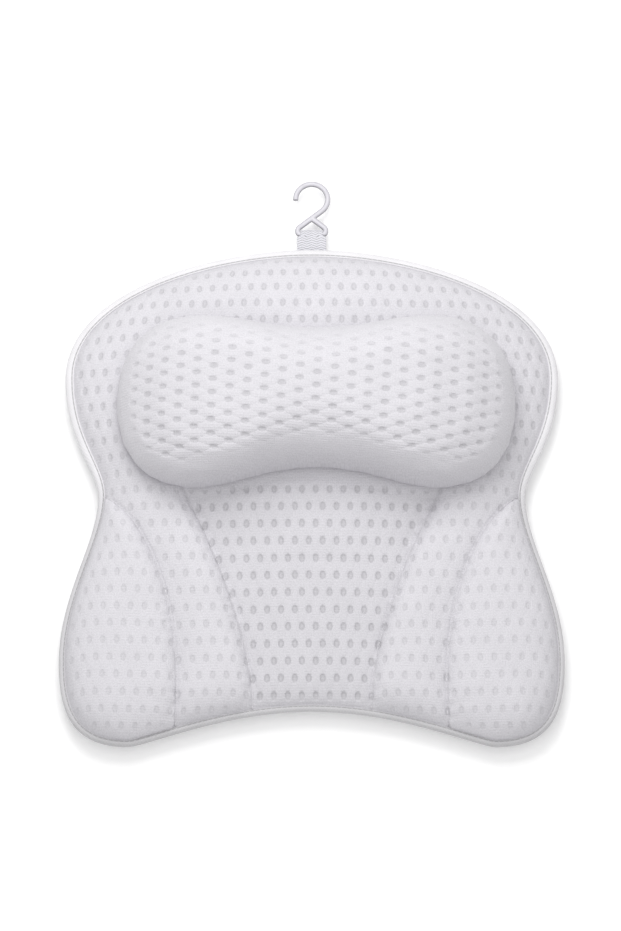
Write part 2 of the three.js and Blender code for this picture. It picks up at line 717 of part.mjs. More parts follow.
// Patch: a round of tape sewn to the back by its hem, with a buttonhole round the cup's neck
function patchGeometry() {
  const hole = CUP_NECK_DIAMETER / 2 + SEWN_GAP;
  const pocket = CUP_HEAD_DIAMETER / 2 + FILL_GAP;
  const hemInner = PATCH_DIAMETER / 2 - PATCH_HEM_WIDTH;
  const low = CUP_DOME_HEIGHT + CUP_NECK_LENGTH - SEWN_GAP - PATCH_THICKNESS;
  const high = backBottom - SEWN_GAP - PATCH_THICKNESS;
  return lathe([
    [hole, low],
    [pocket, low],
    [hemInner, high],
    [PATCH_DIAMETER / 2, high],
    [PATCH_DIAMETER / 2, high + PATCH_THICKNESS],
    [hemInner, high + PATCH_THICKNESS],
    [pocket, low + PATCH_THICKNESS],
    [hole, low + PATCH_THICKNESS],
    [hole, low],
  ]);
}
const cupRows = {
  upper: [UPPER_CUP_X, UPPER_CUP_LEVEL],
  middle: [MIDDLE_CUP_X, MIDDLE_CUP_LEVEL],
  lower: [LOWER_CUP_X, LOWER_CUP_LEVEL],
};
for (const [row, [x, level]] of Object.entries(cupRows)) {
  for (const [hand, sign] of [['left', -1], ['right', 1]]) {
    const spot = new THREE.Group();
    spot.position.set(sign * x, level, 0);
    pillow.add(spot);
    addPart(`suction_cup_${row}_${hand}`, cupGeometry(), cupClear, spot);
    addPart(`cup_patch_${row}_${hand}`, patchGeometry(), tapeWhite, spot);
  }
}

// Webbing: its sewn tail lies under the rim, and its loop runs out to a fold round the hook's bar
const tail = new THREE.BoxGeometry(WEBBING_WIDTH, TAIL_LENGTH, 2 * rootRadius);
addPart('loop_tail', tail, tapeWhite).position.set(0, tailEnd - TAIL_LENGTH / 2, loopPivotZ);

// The webbing is gathered where it goes through the hook's eye, which is narrower than the webbing
const gatherEnd = LOOP_LENGTH - barRadius - EYE_GAP;
const gatherStart = gatherEnd - GATHER_LENGTH;

function webbingHalfWidth(along) {
  const spread = THREE.MathUtils.clamp((gatherEnd - along) / GATHER_LENGTH, 0, 1);
  return THREE.MathUtils.lerp(GATHERED_WIDTH, WEBBING_WIDTH, spread) / 2;
}

function loopGeometry() {
  const lean = Math.asin((foldRadius - rootRadius) / LOOP_LENGTH);
  const side = flat(Math.sin(-lean), Math.cos(lean));
  const foldEnd = side.clone().multiplyScalar(foldRadius).add(flat(LOOP_LENGTH, 0));
  const rootEnd = side.clone().multiplyScalar(rootRadius);
  const sideAt = (along) => mix(foldEnd, rootEnd, (foldEnd.x - along) / (foldEnd.x - rootEnd.x));
  const narrow = sideAt(gatherEnd);
  const wide = sideAt(gatherStart);
  const outer = new THREE.Shape();
  outer.absarc(LOOP_LENGTH, 0, foldRadius, -Math.PI / 2 - lean, Math.PI / 2 + lean);
  outer.lineTo(narrow.x, narrow.y);
  outer.lineTo(wide.x, wide.y);
  outer.absarc(0, 0, rootRadius, Math.PI / 2 + lean, (3 * Math.PI) / 2 - lean);
  outer.lineTo(wide.x, -wide.y);
  outer.lineTo(narrow.x, -narrow.y);
  const hole = barRadius + SEWN_GAP;
  const holeLean = Math.asin(hole / (LOOP_LENGTH - LOOP_SEWN_LENGTH));
  const inner = new THREE.Path();
  inner.absarc(LOOP_LENGTH, 0, hole, -Math.PI / 2 - holeLean, Math.PI / 2 + holeLean);
  inner.lineTo(LOOP_SEWN_LENGTH, 0);
  outer.holes.push(inner);
  const alongLoop = new THREE.Vector3(0, 1, 0);
  const throughLoop = new THREE.Vector3(0, 0, 1);
  const acrossLoop = new THREE.Vector3(1, 0, 0);
  const turn = new THREE.Matrix4().makeBasis(alongLoop, throughLoop, acrossLoop);
  const options = { depth: 2, bevelEnabled: false, curveSegments: FOLD_SIDES / 2 };
  const geometry = new THREE.ExtrudeGeometry(outer, options).translate(0, 0, -1).applyMatrix4(turn);
  const place = geometry.attributes.position;
  for (let k = 0; k < place.count; k += 1) {
    place.setX(k, place.getX(k) * webbingHalfWidth(place.getY(k)));
  }
  geometry.computeVertexNormals();
  return geometry;
}
addPart('hanging_loop', loopGeometry(), tapeWhite).position.set(0, loopPivotLevel, loopPivotZ);

// Hook, drawn about the middle of its bar: an open ring, a shank that runs on as one side of the
// webbing eye, the bar, and the eye's other side, which meets the shank at the apex
const wasm = await Module();
wasm.setup();

function toSolid(geometry) {
  const bare = geometry.clone();
  bare.deleteAttribute('normal');
  bare.deleteAttribute('uv');
  const welded = mergeVertices(bare, 1e-4);
  const vertProperties = new Float32Array(welded.attributes.position.array);
  const triVerts = new Uint32Array(welded.index.array);
  return new wasm.Manifold(new wasm.Mesh({ numProp: 3, vertProperties, triVerts }));
}

function fromSolid(solid) {
  const mesh = solid.getMesh();
  const geometry = new THREE.BufferGeometry();
  geometry.setAttribute('position', new THREE.BufferAttribute(mesh.vertProperties, 3));
  geometry.setIndex(new THREE.BufferAttribute(mesh.triVerts, 1));
  geometry.computeVertexNormals();
  return geometry;
}

function wire(points, radius, steps) {
  const route = points.map(({ x, y }) => new THREE.Vector3(x, y, 0));
  const extrudePath = new THREE.CatmullRomCurve3(route, false, 'centripetal');
  const section = new THREE.Shape().absarc(0, 0, radius, 0, 2 * Math.PI);
  return new THREE.ExtrudeGeometry(section, { steps, extrudePath, curveSegments: WIRE_SIDES / 2 });
}

// Points that keep a stretch of the wire straight
const straight = (from, to) => STRAIGHT_STEPS.map((f) => mix(from, to, f));

// Points where the wire turns from a side of the eye, on the left or right, into the bar
function eyeCorner(hand) {
  const turned = EYE_CORNER_RADIUS * (1 - Math.SQRT1_2);
  return [
    flat(hand * eyeHalfWidth, EYE_CORNER_RADIUS),
    flat(hand * (eyeHalfWidth - turned), turned),
    flat(hand * (eyeHalfWidth - EYE_CORNER_RADIUS), 0),
  ];
}

function hookGeometry() {
  const leaveAngle = THREE.MathUtils.radToDeg(ringLeave.angle() - 2 * Math.PI);
  const ring = even(RING_STEPS).map((f) => {
    const angle = THREE.MathUtils.degToRad(THREE.MathUtils.lerp(HOOK_TIP_ANGLE, leaveAngle, f));
    return flat(Math.cos(angle), Math.sin(angle)).multiplyScalar(ringRadius).add(ringCentre);
  });
  const apex = flat(0, EYE_APEX);
  const leftShoulder = flat(-eyeHalfWidth, EYE_SHOULDER);
  const rightShoulder = flat(eyeHalfWidth, EYE_SHOULDER);
  const armMiddle = mix(rightShoulder, apex, 0.5);
  const barEnd = eyeHalfWidth - EYE_CORNER_RADIUS;
  const body = wire([
    ...ring,
    ...straight(ring[RING_STEPS], apex),
    ...straight(apex, leftShoulder),
    leftShoulder,
    ...eyeCorner(-1),
    ...straight(flat(-barEnd, 0), flat(barEnd, 0)),
    ...eyeCorner(1).reverse(),
    rightShoulder,
    ...straight(rightShoulder, armMiddle),
  ], barRadius, HOOK_STEPS);
  const arm = wire([mix(rightShoulder, armMiddle, 0.5), armMiddle, apex], barRadius - WELD_STEP, 3);
  const tip = new THREE.SphereGeometry(barRadius + WELD_STEP, WIRE_SIDES, WIRE_SIDES / 2);
  tip.translate(ring[0].x, ring[0].y, 0);
  return fromSolid(toSolid(body).add(toSolid(arm)).add(toSolid(tip)));
}
addPart('hanger_hook', hookGeometry(), hookWhite).position.set(0, barLevel, loopPivotZ);

export default pillow;
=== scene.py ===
# %% [markdown]
# # A bath pillow, sewn and stuffed
# The real object is a quilted pad of white air mesh shaped like a butterfly. A bone-shaped neck roll is sewn
# on it, a webbing loop at its top carries a hanger hook, and suction cups hold its back to a tub. The packed
# solids set its size and place. This lesson dresses them: soft solids become sewn, stuffed fabric, and moulded
# ones become smooth castings.

# %% Load the frame
import json
import math

import bmesh
import bpy
import numpy as np
from mathutils import Matrix, Vector, geometry
from mathutils.bvhtree import BVHTree


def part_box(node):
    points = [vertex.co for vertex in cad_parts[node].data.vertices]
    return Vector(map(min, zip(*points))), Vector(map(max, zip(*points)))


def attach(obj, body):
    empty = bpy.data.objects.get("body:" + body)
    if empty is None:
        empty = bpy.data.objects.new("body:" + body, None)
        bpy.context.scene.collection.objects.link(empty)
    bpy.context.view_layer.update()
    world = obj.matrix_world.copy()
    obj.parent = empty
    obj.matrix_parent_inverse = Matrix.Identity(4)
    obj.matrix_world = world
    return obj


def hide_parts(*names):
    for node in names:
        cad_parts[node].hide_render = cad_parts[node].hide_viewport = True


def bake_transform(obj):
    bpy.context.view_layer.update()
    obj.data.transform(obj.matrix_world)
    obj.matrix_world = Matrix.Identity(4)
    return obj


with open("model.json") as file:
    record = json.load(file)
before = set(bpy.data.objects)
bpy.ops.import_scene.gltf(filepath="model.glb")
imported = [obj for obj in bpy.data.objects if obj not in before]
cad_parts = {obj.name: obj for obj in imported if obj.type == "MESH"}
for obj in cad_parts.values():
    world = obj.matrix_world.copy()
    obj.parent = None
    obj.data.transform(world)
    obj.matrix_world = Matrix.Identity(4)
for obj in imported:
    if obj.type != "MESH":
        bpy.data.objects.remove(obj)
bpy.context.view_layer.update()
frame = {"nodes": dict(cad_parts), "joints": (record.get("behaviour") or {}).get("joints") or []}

MM = 0.001

# %% [markdown]
# ## Camera
# The photograph was taken from far off with a long lens, because the left and right edges of the pad show no
# perspective. The rows of holes on the pad are squeezed along its length and not across, which gives the
# height of the camera: 72 degrees above the floor.

# %% Camera
LENS = 281.2
CAMERA_DISTANCE = 6.0
CAMERA_HEIGHT_ANGLE = math.radians(72)
AIM = Vector((-0.001, -0.0057, 0.020))


def add_object(name, data):
    made = bpy.data.objects.new(name, data)
    bpy.context.collection.objects.link(made)
    return made


camera = add_object("camera", bpy.data.cameras.new("camera"))
camera.data.lens = LENS
camera.data.clip_end = 100
backwards = Vector((0, -math.cos(CAMERA_HEIGHT_ANGLE), math.sin(CAMERA_HEIGHT_ANGLE)))
camera.location = AIM + backwards * CAMERA_DISTANCE
camera.rotation_euler = (-backwards).to_track_quat("-Z", "Y").to_euler()
bpy.context.scene.camera = camera
print("camera at", [round(c, 3) for c in camera.location])

# %% [markdown]
# ## Small tools
# Each piece starts as a bmesh and ends as an object at the origin, with its place in its mesh. Points are
# read and written as arrays, because the fabric pieces have a hundred thousand of them.

# %% Mesh tools
def to_piece(name, bm, material):
    """Turns a bmesh into a smooth-shaded object."""
    mesh = bpy.data.meshes.new(name)
    bm.to_mesh(mesh)
    bm.free()
    mesh.materials.append(material)
    mesh.shade_smooth()
    return add_object(name, mesh)


def triples(items, field):
    values = np.empty(len(items) * 3, np.float32)
    items.foreach_get(field, values)
    return values.reshape(-1, 3).astype(float)


def points_of(mesh):
    return triples(mesh.vertices, "co")


def normals_of(mesh):
    return triples(mesh.vertex_normals, "vector")


def move_points(mesh, points):
    mesh.vertices.foreach_set("co", points.astype(np.float32).ravel())
    mesh.update()


def store_values(mesh, name, values):
    """Keeps one number for each point, which subdivision carries over to the finer points."""
    attribute = mesh.attributes.get(name) or mesh.attributes.new(name, "FLOAT", "POINT")
    attribute.data.foreach_set("value", np.asarray(values, np.float32))


def values_of(mesh, name):
    values = np.empty(len(mesh.vertices), np.float32)
    mesh.attributes[name].data.foreach_get("value", values)
    return values.astype(float)


def store_uv(mesh, name, places):
    """Keeps a flat place for each point as a UV map, which a pattern follows."""
    corners = np.empty(len(mesh.loops), np.int32)
    mesh.loops.foreach_get("vertex_index", corners)
    layer = mesh.uv_layers.new(name=name)
    layer.data.foreach_set("uv", places[corners].astype(np.float32).ravel())


def apply_modifiers(piece):
    """Makes what the modifiers show the piece's own mesh."""
    shown = piece.evaluated_get(bpy.context.evaluated_depsgraph_get())
    mesh = bpy.data.meshes.new_from_object(shown)
    old = piece.data
    piece.modifiers.clear()
    piece.data = mesh
    bpy.data.meshes.remove(old)
    mesh.name = piece.name


def smooth_step(low, high, value):
    share = np.clip((value - low) / (high - low), 0, 1)
    return share * share * (3 - 2 * share)


# %% Node tools
def add_node(tree, kind, inputs=None, **settings):
    """Adds a node; an input is given a value or linked to another node's socket."""
    made = tree.nodes.new(kind)
    for name, value in settings.items():
        setattr(made, name, value)
    for name, value in (inputs or {}).items():
        if isinstance(value, bpy.types.NodeSocket):
            tree.links.new(value, made.inputs[name])
        else:
            made.inputs[name].default_value = value
    return made


def calc(tree, operation, a, b=0.0):
    return add_node(tree, "ShaderNodeMath", {0: a, 1: b}, operation=operation).outputs[0]


def vector_calc(tree, operation, a, b=(0, 0, 0)):
    made = add_node(tree, "ShaderNodeVectorMath", {0: a, 1: b}, operation=operation)
    return made.outputs["Value" if operation == "LENGTH" else "Vector"]


def ramp(tree, value, start, end, low=0.0, high=1.0):
    """Eases from low to high as the value goes from start to end."""
    inputs = {"Value": value, "From Min": start, "From Max": end, "To Min": low, "To Max": high}
    return add_node(tree, "ShaderNodeMapRange", inputs, interpolation_type="SMOOTHSTEP").outputs["Result"]


def mix_colour(tree, factor, a, b, blend="MIX"):
    made = add_node(tree, "ShaderNodeMix", {0: factor, 6: a, 7: b}, data_type="RGBA", blend_type=blend)
    return made.outputs[2]


def darken(tree, colour, grey):
    return mix_colour(tree, 1.0, colour, grey, "MULTIPLY")


def noise(tree, place, scale, detail=2):
    inputs = {"Vector": place, "Scale": scale, "Detail": detail}
    return add_node(tree, "ShaderNodeTexNoise", inputs).outputs["Fac"]


def point_value(tree, name):
    """Reads what store_values kept under a name."""
    return add_node(tree, "ShaderNodeAttribute", attribute_name=name).outputs["Fac"]


def add_bump(tree, surface, height, strength, distance):
    inputs = {"Height": height, "Strength": strength, "Distance": distance}
    tree.links.new(add_node(tree, "ShaderNodeBump", inputs).outputs["Normal"], surface["Normal"])


def set_inputs(sockets, values):
    for name, value in values.items():
        sockets[name].default_value = value


def new_group(name, inputs, outputs):
    """An empty shader node group; returns its tree, its inputs and a function that sets an output."""
    tree = bpy.data.node_groups.new(name, "ShaderNodeTree")
    for socket, kind in inputs.items():
        tree.interface.new_socket(socket, in_out="INPUT", socket_type=f"NodeSocket{kind}")
    for socket in outputs:
        tree.interface.new_socket(socket, in_out="OUTPUT", socket_type="NodeSocketFloat")
    entry = tree.nodes.new("NodeGroupInput")
    leave = tree.nodes.new("NodeGroupOutput")
    return tree, entry.outputs, lambda socket, value: tree.links.new(value, leave.inputs[socket])


def new_material(name):
    """A material with its shader; returns it, its tree and the shader's inputs."""
    material = bpy.data.materials.new(name)
    material.use_nodes = True
    tree = material.node_tree
    return material, tree, tree.nodes["Principled BSDF"].inputs


# %% [markdown]
# ## Air mesh
# The fabric is a spacer knit. Its face is a net with oval holes in staggered rows, and the yarn bulges a
# little between the holes. The holes could be cut one by one, but every one of them would then break the
# sheet. Here one formula, on a cloth map that follows the surface, gives both the dents in the mesh and the
# shaded holes in the material, so the two always agree.

# %% Oval holes as a shader group
def oval_mesh_group():
    sockets = {"Cloth": "Vector", "Pitch": "Vector", "Oval": "Vector", "Core": "Float"}
    tree, given, put = new_group("oval_mesh", sockets, ["Hole", "Puff"])
    cell = vector_calc(tree, "DIVIDE", given["Cloth"], given["Pitch"])
    reach = []
    for shift in (0.5, 0.0):
        moved = vector_calc(tree, "ADD", cell, (shift, shift, 0.5))
        inside = vector_calc(tree, "SUBTRACT", vector_calc(tree, "FRACTION", moved), (0.5, 0.5, 0.5))
        size = vector_calc(tree, "DIVIDE", vector_calc(tree, "MULTIPLY", inside, given["Pitch"]), given["Oval"])
        reach.append(vector_calc(tree, "LENGTH", size))
    nearest = calc(tree, "MINIMUM", *reach)
    # Core weakens the middle of each hole, so its painted shade is deepest near the rim.
    core = ramp(tree, nearest, 0.1, 0.8, given["Core"], 1.0)
    put("Hole", calc(tree, "MULTIPLY", ramp(tree, nearest, 0.70, 1.12, 1.0, 0.0), core))
    place = add_node(tree, "ShaderNodeSeparateXYZ", {0: cell}).outputs
    waves = []
    for operation in ("ADD", "SUBTRACT"):
        diagonal = calc(tree, operation, place["X"], place["Y"])
        waves.append(calc(tree, "SINE", calc(tree, "MULTIPLY", diagonal, math.pi)))
    bulge = calc(tree, "ABSOLUTE", calc(tree, "MULTIPLY", *waves))
    put("Puff", calc(tree, "POWER", bulge, 0.5))
    return tree


def knit_grain_group():
    """Fine loops of yarn and the uneven shade of a white knit."""
    tree, given, put = new_group("knit_grain", {"Cloth": "Vector"}, ["Height", "Shade"])
    place = add_node(tree, "ShaderNodeSeparateXYZ", {0: given["Cloth"]}).outputs
    across, along = (
        calc(tree, "SINE", calc(tree, "MULTIPLY", place[axis], 2 * math.pi / loop))
        for axis, loop in (("X", 1.7 * MM), ("Y", 2.3 * MM)))
    fuzz = noise(tree, given["Cloth"], 850)
    loops = calc(tree, "ADD", calc(tree, "MULTIPLY", across, 0.15), calc(tree, "MULTIPLY", along, 0.3))
    put("Height", calc(tree, "ADD", loops, calc(tree, "MULTIPLY", fuzz, 2.0)))
    cloud = noise(tree, given["Cloth"], 45, 3)
    speck = calc(tree, "MULTIPLY", ramp(tree, fuzz, 0.3, 0.7, 0.88, 1.0), ramp(tree, along, -1, 1, 0.985, 1.0))
    put("Shade", calc(tree, "MULTIPLY", speck, ramp(tree, cloud, 0.3, 0.7, 0.975, 1.0)))
    return tree


OVAL_MESH = oval_mesh_group()
KNIT_GRAIN = knit_grain_group()
print("groups:", OVAL_MESH.name, KNIT_GRAIN.name)

# %% [markdown]
# The pad and the roll are cut from the same mesh, but the roll's piece is turned a quarter turn, so its ovals
# lie across. A point attribute named open says how far the holes show: they close where the knit is stretched
# tight, as on the roll's lower side, and where they stand fully open, as on the low centre panel, the cloth
# is greyed a little as painted shade. Another, named sewn, paints shade in the pinch of a seam, on the low side
# beside it and at the binding.

# %% Mesh fabric
PAD_PITCH = np.array([11.4, 29.2]) * MM
PAD_OVAL = np.array([2.5, 3.9]) * MM
ROLL_PITCH = np.array([28.4, 11.5]) * MM
ROLL_OVAL = np.array([3.9, 2.5]) * MM
FABRIC_WHITE = (0.70, 0.687, 0.722, 1)
SEAM_SHADE_GREY, KNIT_SHARE = 0.8, 0.3


def mesh_fabric(name, pitch, oval, hole_depth, hole_grey, core, puffing, open_shade_grey):
    material, tree, surface = new_material(name)
    cloth = add_node(tree, "ShaderNodeUVMap", uv_map="cloth").outputs["UV"]
    inputs = {"Cloth": cloth, "Pitch": (*pitch, 1), "Oval": (*oval, 1), "Core": core}
    holes = add_node(tree, "ShaderNodeGroup", inputs, node_tree=OVAL_MESH).outputs
    grain = add_node(tree, "ShaderNodeGroup", {"Cloth": cloth}, node_tree=KNIT_GRAIN).outputs
    opened = point_value(tree, "open")
    hole, puff = (calc(tree, "MULTIPLY", holes[socket], opened) for socket in ("Hole", "Puff"))
    # Hole tint: partly the darker spacer yarns seen through the holes, partly painted shade in their recess.
    shaded = mix_colour(tree, hole, FABRIC_WHITE, (*(c * hole_grey for c in FABRIC_WHITE[:3]), 1))
    shaded = darken(tree, shaded, grain["Shade"])
    # Painted shade: where the holes stand fully open, as on the low centre panel, the cloth is greyed a little.
    shaded = darken(tree, shaded, ramp(tree, opened, 0.8, 1.0, 1.0, open_shade_grey))
    # Painted shade: the sewn attribute greys the pinch of each seam, its low side and the rim beside the
    # binding.
    shaded = darken(tree, shaded, ramp(tree, point_value(tree, "sewn"), 0, 1, 1.0, SEAM_SHADE_GREY))
    tree.links.new(shaded, surface["Base Color"])
    tree.links.new(ramp(tree, hole, 0, 1, 0.82, 0.95), surface["Roughness"])
    knit = calc(tree, "MULTIPLY", grain["Height"], KNIT_SHARE)
    raised = calc(tree, "ADD", calc(tree, "MULTIPLY", puff, puffing), knit)
    height = calc(tree, "SUBTRACT", raised, calc(tree, "MULTIPLY", hole, hole_depth))
    add_bump(tree, surface, height, 0.6, 0.8 * MM)
    set_inputs(surface, {"Sheen Weight": 0.12, "Sheen Roughness": 0.5, "Specular IOR Level": 0.25})
    return material


pad_mesh = mesh_fabric("pad_air_mesh", PAD_PITCH, PAD_OVAL, hole_depth=0.35, hole_grey=0.78, core=0.65,
                       puffing=0.5, open_shade_grey=0.94)
roll_mesh = mesh_fabric("roll_air_mesh", ROLL_PITCH, ROLL_OVAL, hole_depth=0.25, hole_grey=0.84, core=1.0,
                        puffing=0.6, open_shade_grey=0.97)
print("fabrics:", pad_mesh.name, roll_mesh.name)

# %% [markdown]
# ## Tape, webbing and thread
# The binding and the patches are plain woven tape, the loop is herringbone webbing, the back is a close knit
# and the thread is twisted polyester. All five show crossing yarns, so one weave group serves them at different
# scales. On the webbing a point attribute greys the cloth between the ribs as painted shade. On the binding
# another one, named lit, paints shade on the stitch line and on the part that lies in the shade of the lobes.

# %% Woven materials
def plain_weave_group():
    tree, given, put = new_group("plain_weave", {"Place": "Vector", "Yarn": "Float"}, ["Height", "Shade"])
    place = add_node(tree, "ShaderNodeSeparateXYZ", {0: given["Place"]}).outputs
    yarns = []
    for axis in ("X", "Y"):
        turns = calc(tree, "DIVIDE", place[axis], given["Yarn"])
        yarns.append(calc(tree, "SINE", calc(tree, "MULTIPLY", turns, math.pi)))
    crossing = calc(tree, "MULTIPLY", *yarns)
    put("Height", crossing)
    uneven = ramp(tree, noise(tree, given["Place"], 60, 3), 0.3, 0.7, 0.96, 1.0)
    put("Shade", calc(tree, "MULTIPLY", uneven, ramp(tree, crossing, -1, 1, 0.95, 1.0)))
    return tree


PLAIN_WEAVE = plain_weave_group()


def woven(name, colour, yarn, bump_height, uv_map=None, groove=None):
    """Woven cloth; groove names a point attribute whose low values grey the cloth as painted shade."""
    material, tree, surface = new_material(name)
    if uv_map:
        place = add_node(tree, "ShaderNodeUVMap", uv_map=uv_map).outputs["UV"]
    else:
        place = add_node(tree, "ShaderNodeTexCoord").outputs["Object"]
    weave = add_node(tree, "ShaderNodeGroup", {"Place": place, "Yarn": yarn}, node_tree=PLAIN_WEAVE).outputs
    shaded = darken(tree, colour, weave["Shade"])
    if groove:
        # Painted shade: low values of the attribute grey the cloth.
        shaded = darken(tree, shaded, ramp(tree, point_value(tree, groove), -1, 0.6, 0.5, 1.0))
    tree.links.new(shaded, surface["Base Color"])
    tree.links.new(ramp(tree, weave["Height"], -1, 1, 0.85, 0.7), surface["Roughness"])
    add_bump(tree, surface, weave["Height"], 0.5, bump_height)
    set_inputs(surface, {"Sheen Weight": 0.1, "Specular IOR Level": 0.3})
    return material


binding_cloth = woven("binding_cloth", (0.80, 0.79, 0.81, 1), 1.2 * MM, 0.3 * MM, groove="lit")
patch_cloth = woven("patch_cloth", (0.73, 0.72, 0.74, 1), 1.2 * MM, 0.3 * MM)
back_cloth = woven("back_knit", (0.72, 0.71, 0.735, 1), 1.3 * MM, 0.3 * MM)
webbing_cloth = woven("webbing_yarn", (0.74, 0.735, 0.78, 1), 0.7 * MM, 0.2 * MM, "strap", "rib")
thread = woven("sewing_thread", (0.74, 0.73, 0.755, 1), 0.5 * MM, 0.1 * MM)
print("woven:", [m.name for m in (binding_cloth, patch_cloth, back_cloth, webbing_cloth, thread)])

# %% [markdown]
# ## Moulded plastics
# The hook is a glossy white moulding with a faint flow pattern, and the cups are clear soft vinyl. Both get
# their gloss from the shader, and only small changes of roughness and colour from noise. The hook's side walls
# are greyed as painted shade, and a point attribute named wall says where they are.

# %% Moulded materials
def moulded(name, colour, dark, wall_shade_grey, roughness, grain):
    """A smooth moulding; the point attribute named wall marks side walls, which are greyed as painted shade."""
    material, tree, surface = new_material(name)
    place = add_node(tree, "ShaderNodeTexCoord").outputs["Object"]
    flow = noise(tree, place, grain, 4)
    painted_wall_shade = ramp(tree, point_value(tree, "wall"), 0, 1, 1.0, wall_shade_grey)
    tree.links.new(darken(tree, mix_colour(tree, flow, colour, dark), painted_wall_shade), surface["Base Color"])
    tree.links.new(ramp(tree, flow, 0.3, 0.7, roughness, roughness + 0.1), surface["Roughness"])
    add_bump(tree, surface, flow, 0.1, 0.1 * MM)
    return material, surface


hook_white, hook_surface = moulded(
    "hook_moulding", (0.56, 0.55, 0.59, 1), (0.51, 0.50, 0.54, 1), wall_shade_grey=0.55, roughness=0.25, grain=160)
set_inputs(hook_surface, {"Specular IOR Level": 0.5})
cup_clear, cup_surface = moulded(
    "cup_vinyl", (0.93, 0.96, 0.97, 1), (0.86, 0.91, 0.93, 1), wall_shade_grey=1.0, roughness=0.12, grain=90)
set_inputs(cup_surface, {"Transmission Weight": 0.9, "IOR": 1.5})
print("moulded:", hook_white.name, cup_clear.name)

# %% [markdown]
# ## The pad's plan
# The pad is drawn flat first, as a pattern cutter would. Five curves make its right half, from the crown of
# the top edge round to the arch below. Two quilting seams cross that half. Levels are measured up from the
# feet of the lower lobes.

# %% Outline of the pad
FOOT_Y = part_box("edge_binding")[0].y
OUTLINE = [
    ((0, 430), (83, 430), (204, 394), (204, 317)),
    ((204, 317), (204, 261), (176, 238), (176, 213)),
    ((176, 213), (176, 175), (207, 130), (207, 73)),
    ((207, 73), (207, 31), (197, 0), (150, 0)),
    ((150, 0), (136, 0), (72, 30), (0, 30)),
]
CURVE_STEPS = 160
YOKE_EDGE, LOBE_EDGE = 6.8 * MM, 4.8 * MM
HEM_INSET = 1.3 * MM


def level(place):
    """A place drawn in millimetres from the feet, in the frame."""
    return np.array([place[0] * MM, place[1] * MM + FOOT_Y])


def curve(*ends):
    """Points along a cubic curve from its two ends and their handles."""
    knots = [Vector((*place, 0)) for place in ends]
    return np.array(geometry.interpolate_bezier(*knots, CURVE_STEPS))[:, :2]


def length_of(line):
    return np.linalg.norm(np.diff(line, axis=0), axis=1).sum()


def run_along(line):
    """How far along a line each of its points lies, from 0 to 1."""
    run = np.concatenate([[0], np.cumsum(np.linalg.norm(np.diff(line, axis=0), axis=1))])
    return run / run[-1]


def spaced(line, shares, run=None):
    """Places at given shares of a line's run."""
    run = run_along(line) if run is None else run
    return np.stack([np.interp(shares, run, line[:, k]) for k in (0, 1)], -1)


outline = np.concatenate([curve(*map(level, ends))[bool(k):] for k, ends in enumerate(OUTLINE)])
outline_run = run_along(outline)
tangent = np.gradient(outline, axis=0)
tangent /= np.linalg.norm(tangent, axis=1)[:, None]
inward = np.stack([tangent[:, 1], -tangent[:, 0]], 1)
inward[[0, -1]] = [[0, -1], [0, 1]]


def rim(shares, inset):
    """Places on the right half of the edge, moved in by an inset."""
    places, normals = (spaced(line, shares, outline_run) for line in (outline, inward))
    return places + normals * np.asarray(inset)[..., None]


wing_share, waist_share, foot_share = (outline_run[k * (CURVE_STEPS - 1)] for k in (1, 2, 4))


def edge_width(shares):
    """Width of the binding in view: wide round the yoke, and partly hidden by the lobes that bulge over it."""
    return YOKE_EDGE + (LOBE_EDGE - YOKE_EDGE) * smooth_step(waist_share - 0.08, waist_share + 0.06, shares)


def pad_rim(shares):
    """Places where the stuffing starts, at the inner edge of the binding."""
    shares = np.asarray(shares, float)
    return rim(shares, edge_width(shares) - 0.2 * MM)


print("half outline in mm:", round(length_of(outline) / MM, 1))

# %% Quilting seams
arch = outline_run >= foot_share


def arch_share(x):
    return float(np.interp(-x * MM, -outline[arch, 0], outline_run[arch]))


OUTER_FOOT, INNER_FOOT = arch_share(110), arch_share(48)
OUTER_TOP = pad_rim(waist_share)
INNER_TOP = level((126, 240))


def seam(foot, foot_pull, top, top_pull):
    return curve(foot, foot + np.array(foot_pull) * MM, top + np.array(top_pull) * MM, top)


outer_seam = seam(pad_rim(OUTER_FOOT), (-7, 84), OUTER_TOP, (-46, -30))
inner_seam = seam(pad_rim(INNER_FOOT), (-5, 56), INNER_TOP, (-28, -17))
print("seam feet in mm:", (outer_seam[0] / MM).round(1), (inner_seam[0] / MM).round(1))

# %% [markdown]
# ## Panels
# The seams divide each half into a centre panel, a channel and a wing, and above the waist the centre and the
# channel run on to the top edge. A grid is laid in every panel so that its lines follow the seams: then a
# seam can be pinned while the panel swells, and it stays sharp when the mesh is subdivided.

# %% Grid of a panel
LOWER_ROWS, UPPER_ROWS = 50, 38
CENTRE_COLUMNS, CHANNEL_COLUMNS, WING_COLUMNS = 15, 14, 19
CENTRE, CHANNEL, WING = 1, 2, 3
INNER_TOP_SHARE, SHOULDER_SHARE = wing_share * 0.33, wing_share * 0.76

lower = np.linspace(0, 1, LOWER_ROWS + 1)
upper = np.linspace(0, 1, UPPER_ROWS + 1)[1:]
WAIST_RISE = 213 / 430
row_rise = np.concatenate([lower * WAIST_RISE, WAIST_RISE + upper * (1 - WAIST_RISE)])


def between(a, b, shares):
    return a + (b - a) * np.asarray(shares)[..., None]


seat_middle = level((0, 240))
centre_column = np.concatenate([
    between(pad_rim(1.0), seat_middle, lower),
    between(seat_middle, pad_rim(0.0), upper)])
inner_column = np.concatenate([
    spaced(inner_seam, lower),
    between(INNER_TOP, pad_rim(INNER_TOP_SHARE), upper)])
outer_column = np.concatenate([
    spaced(outer_seam, lower),
    pad_rim(waist_share + (SHOULDER_SHARE - waist_share) * upper)])


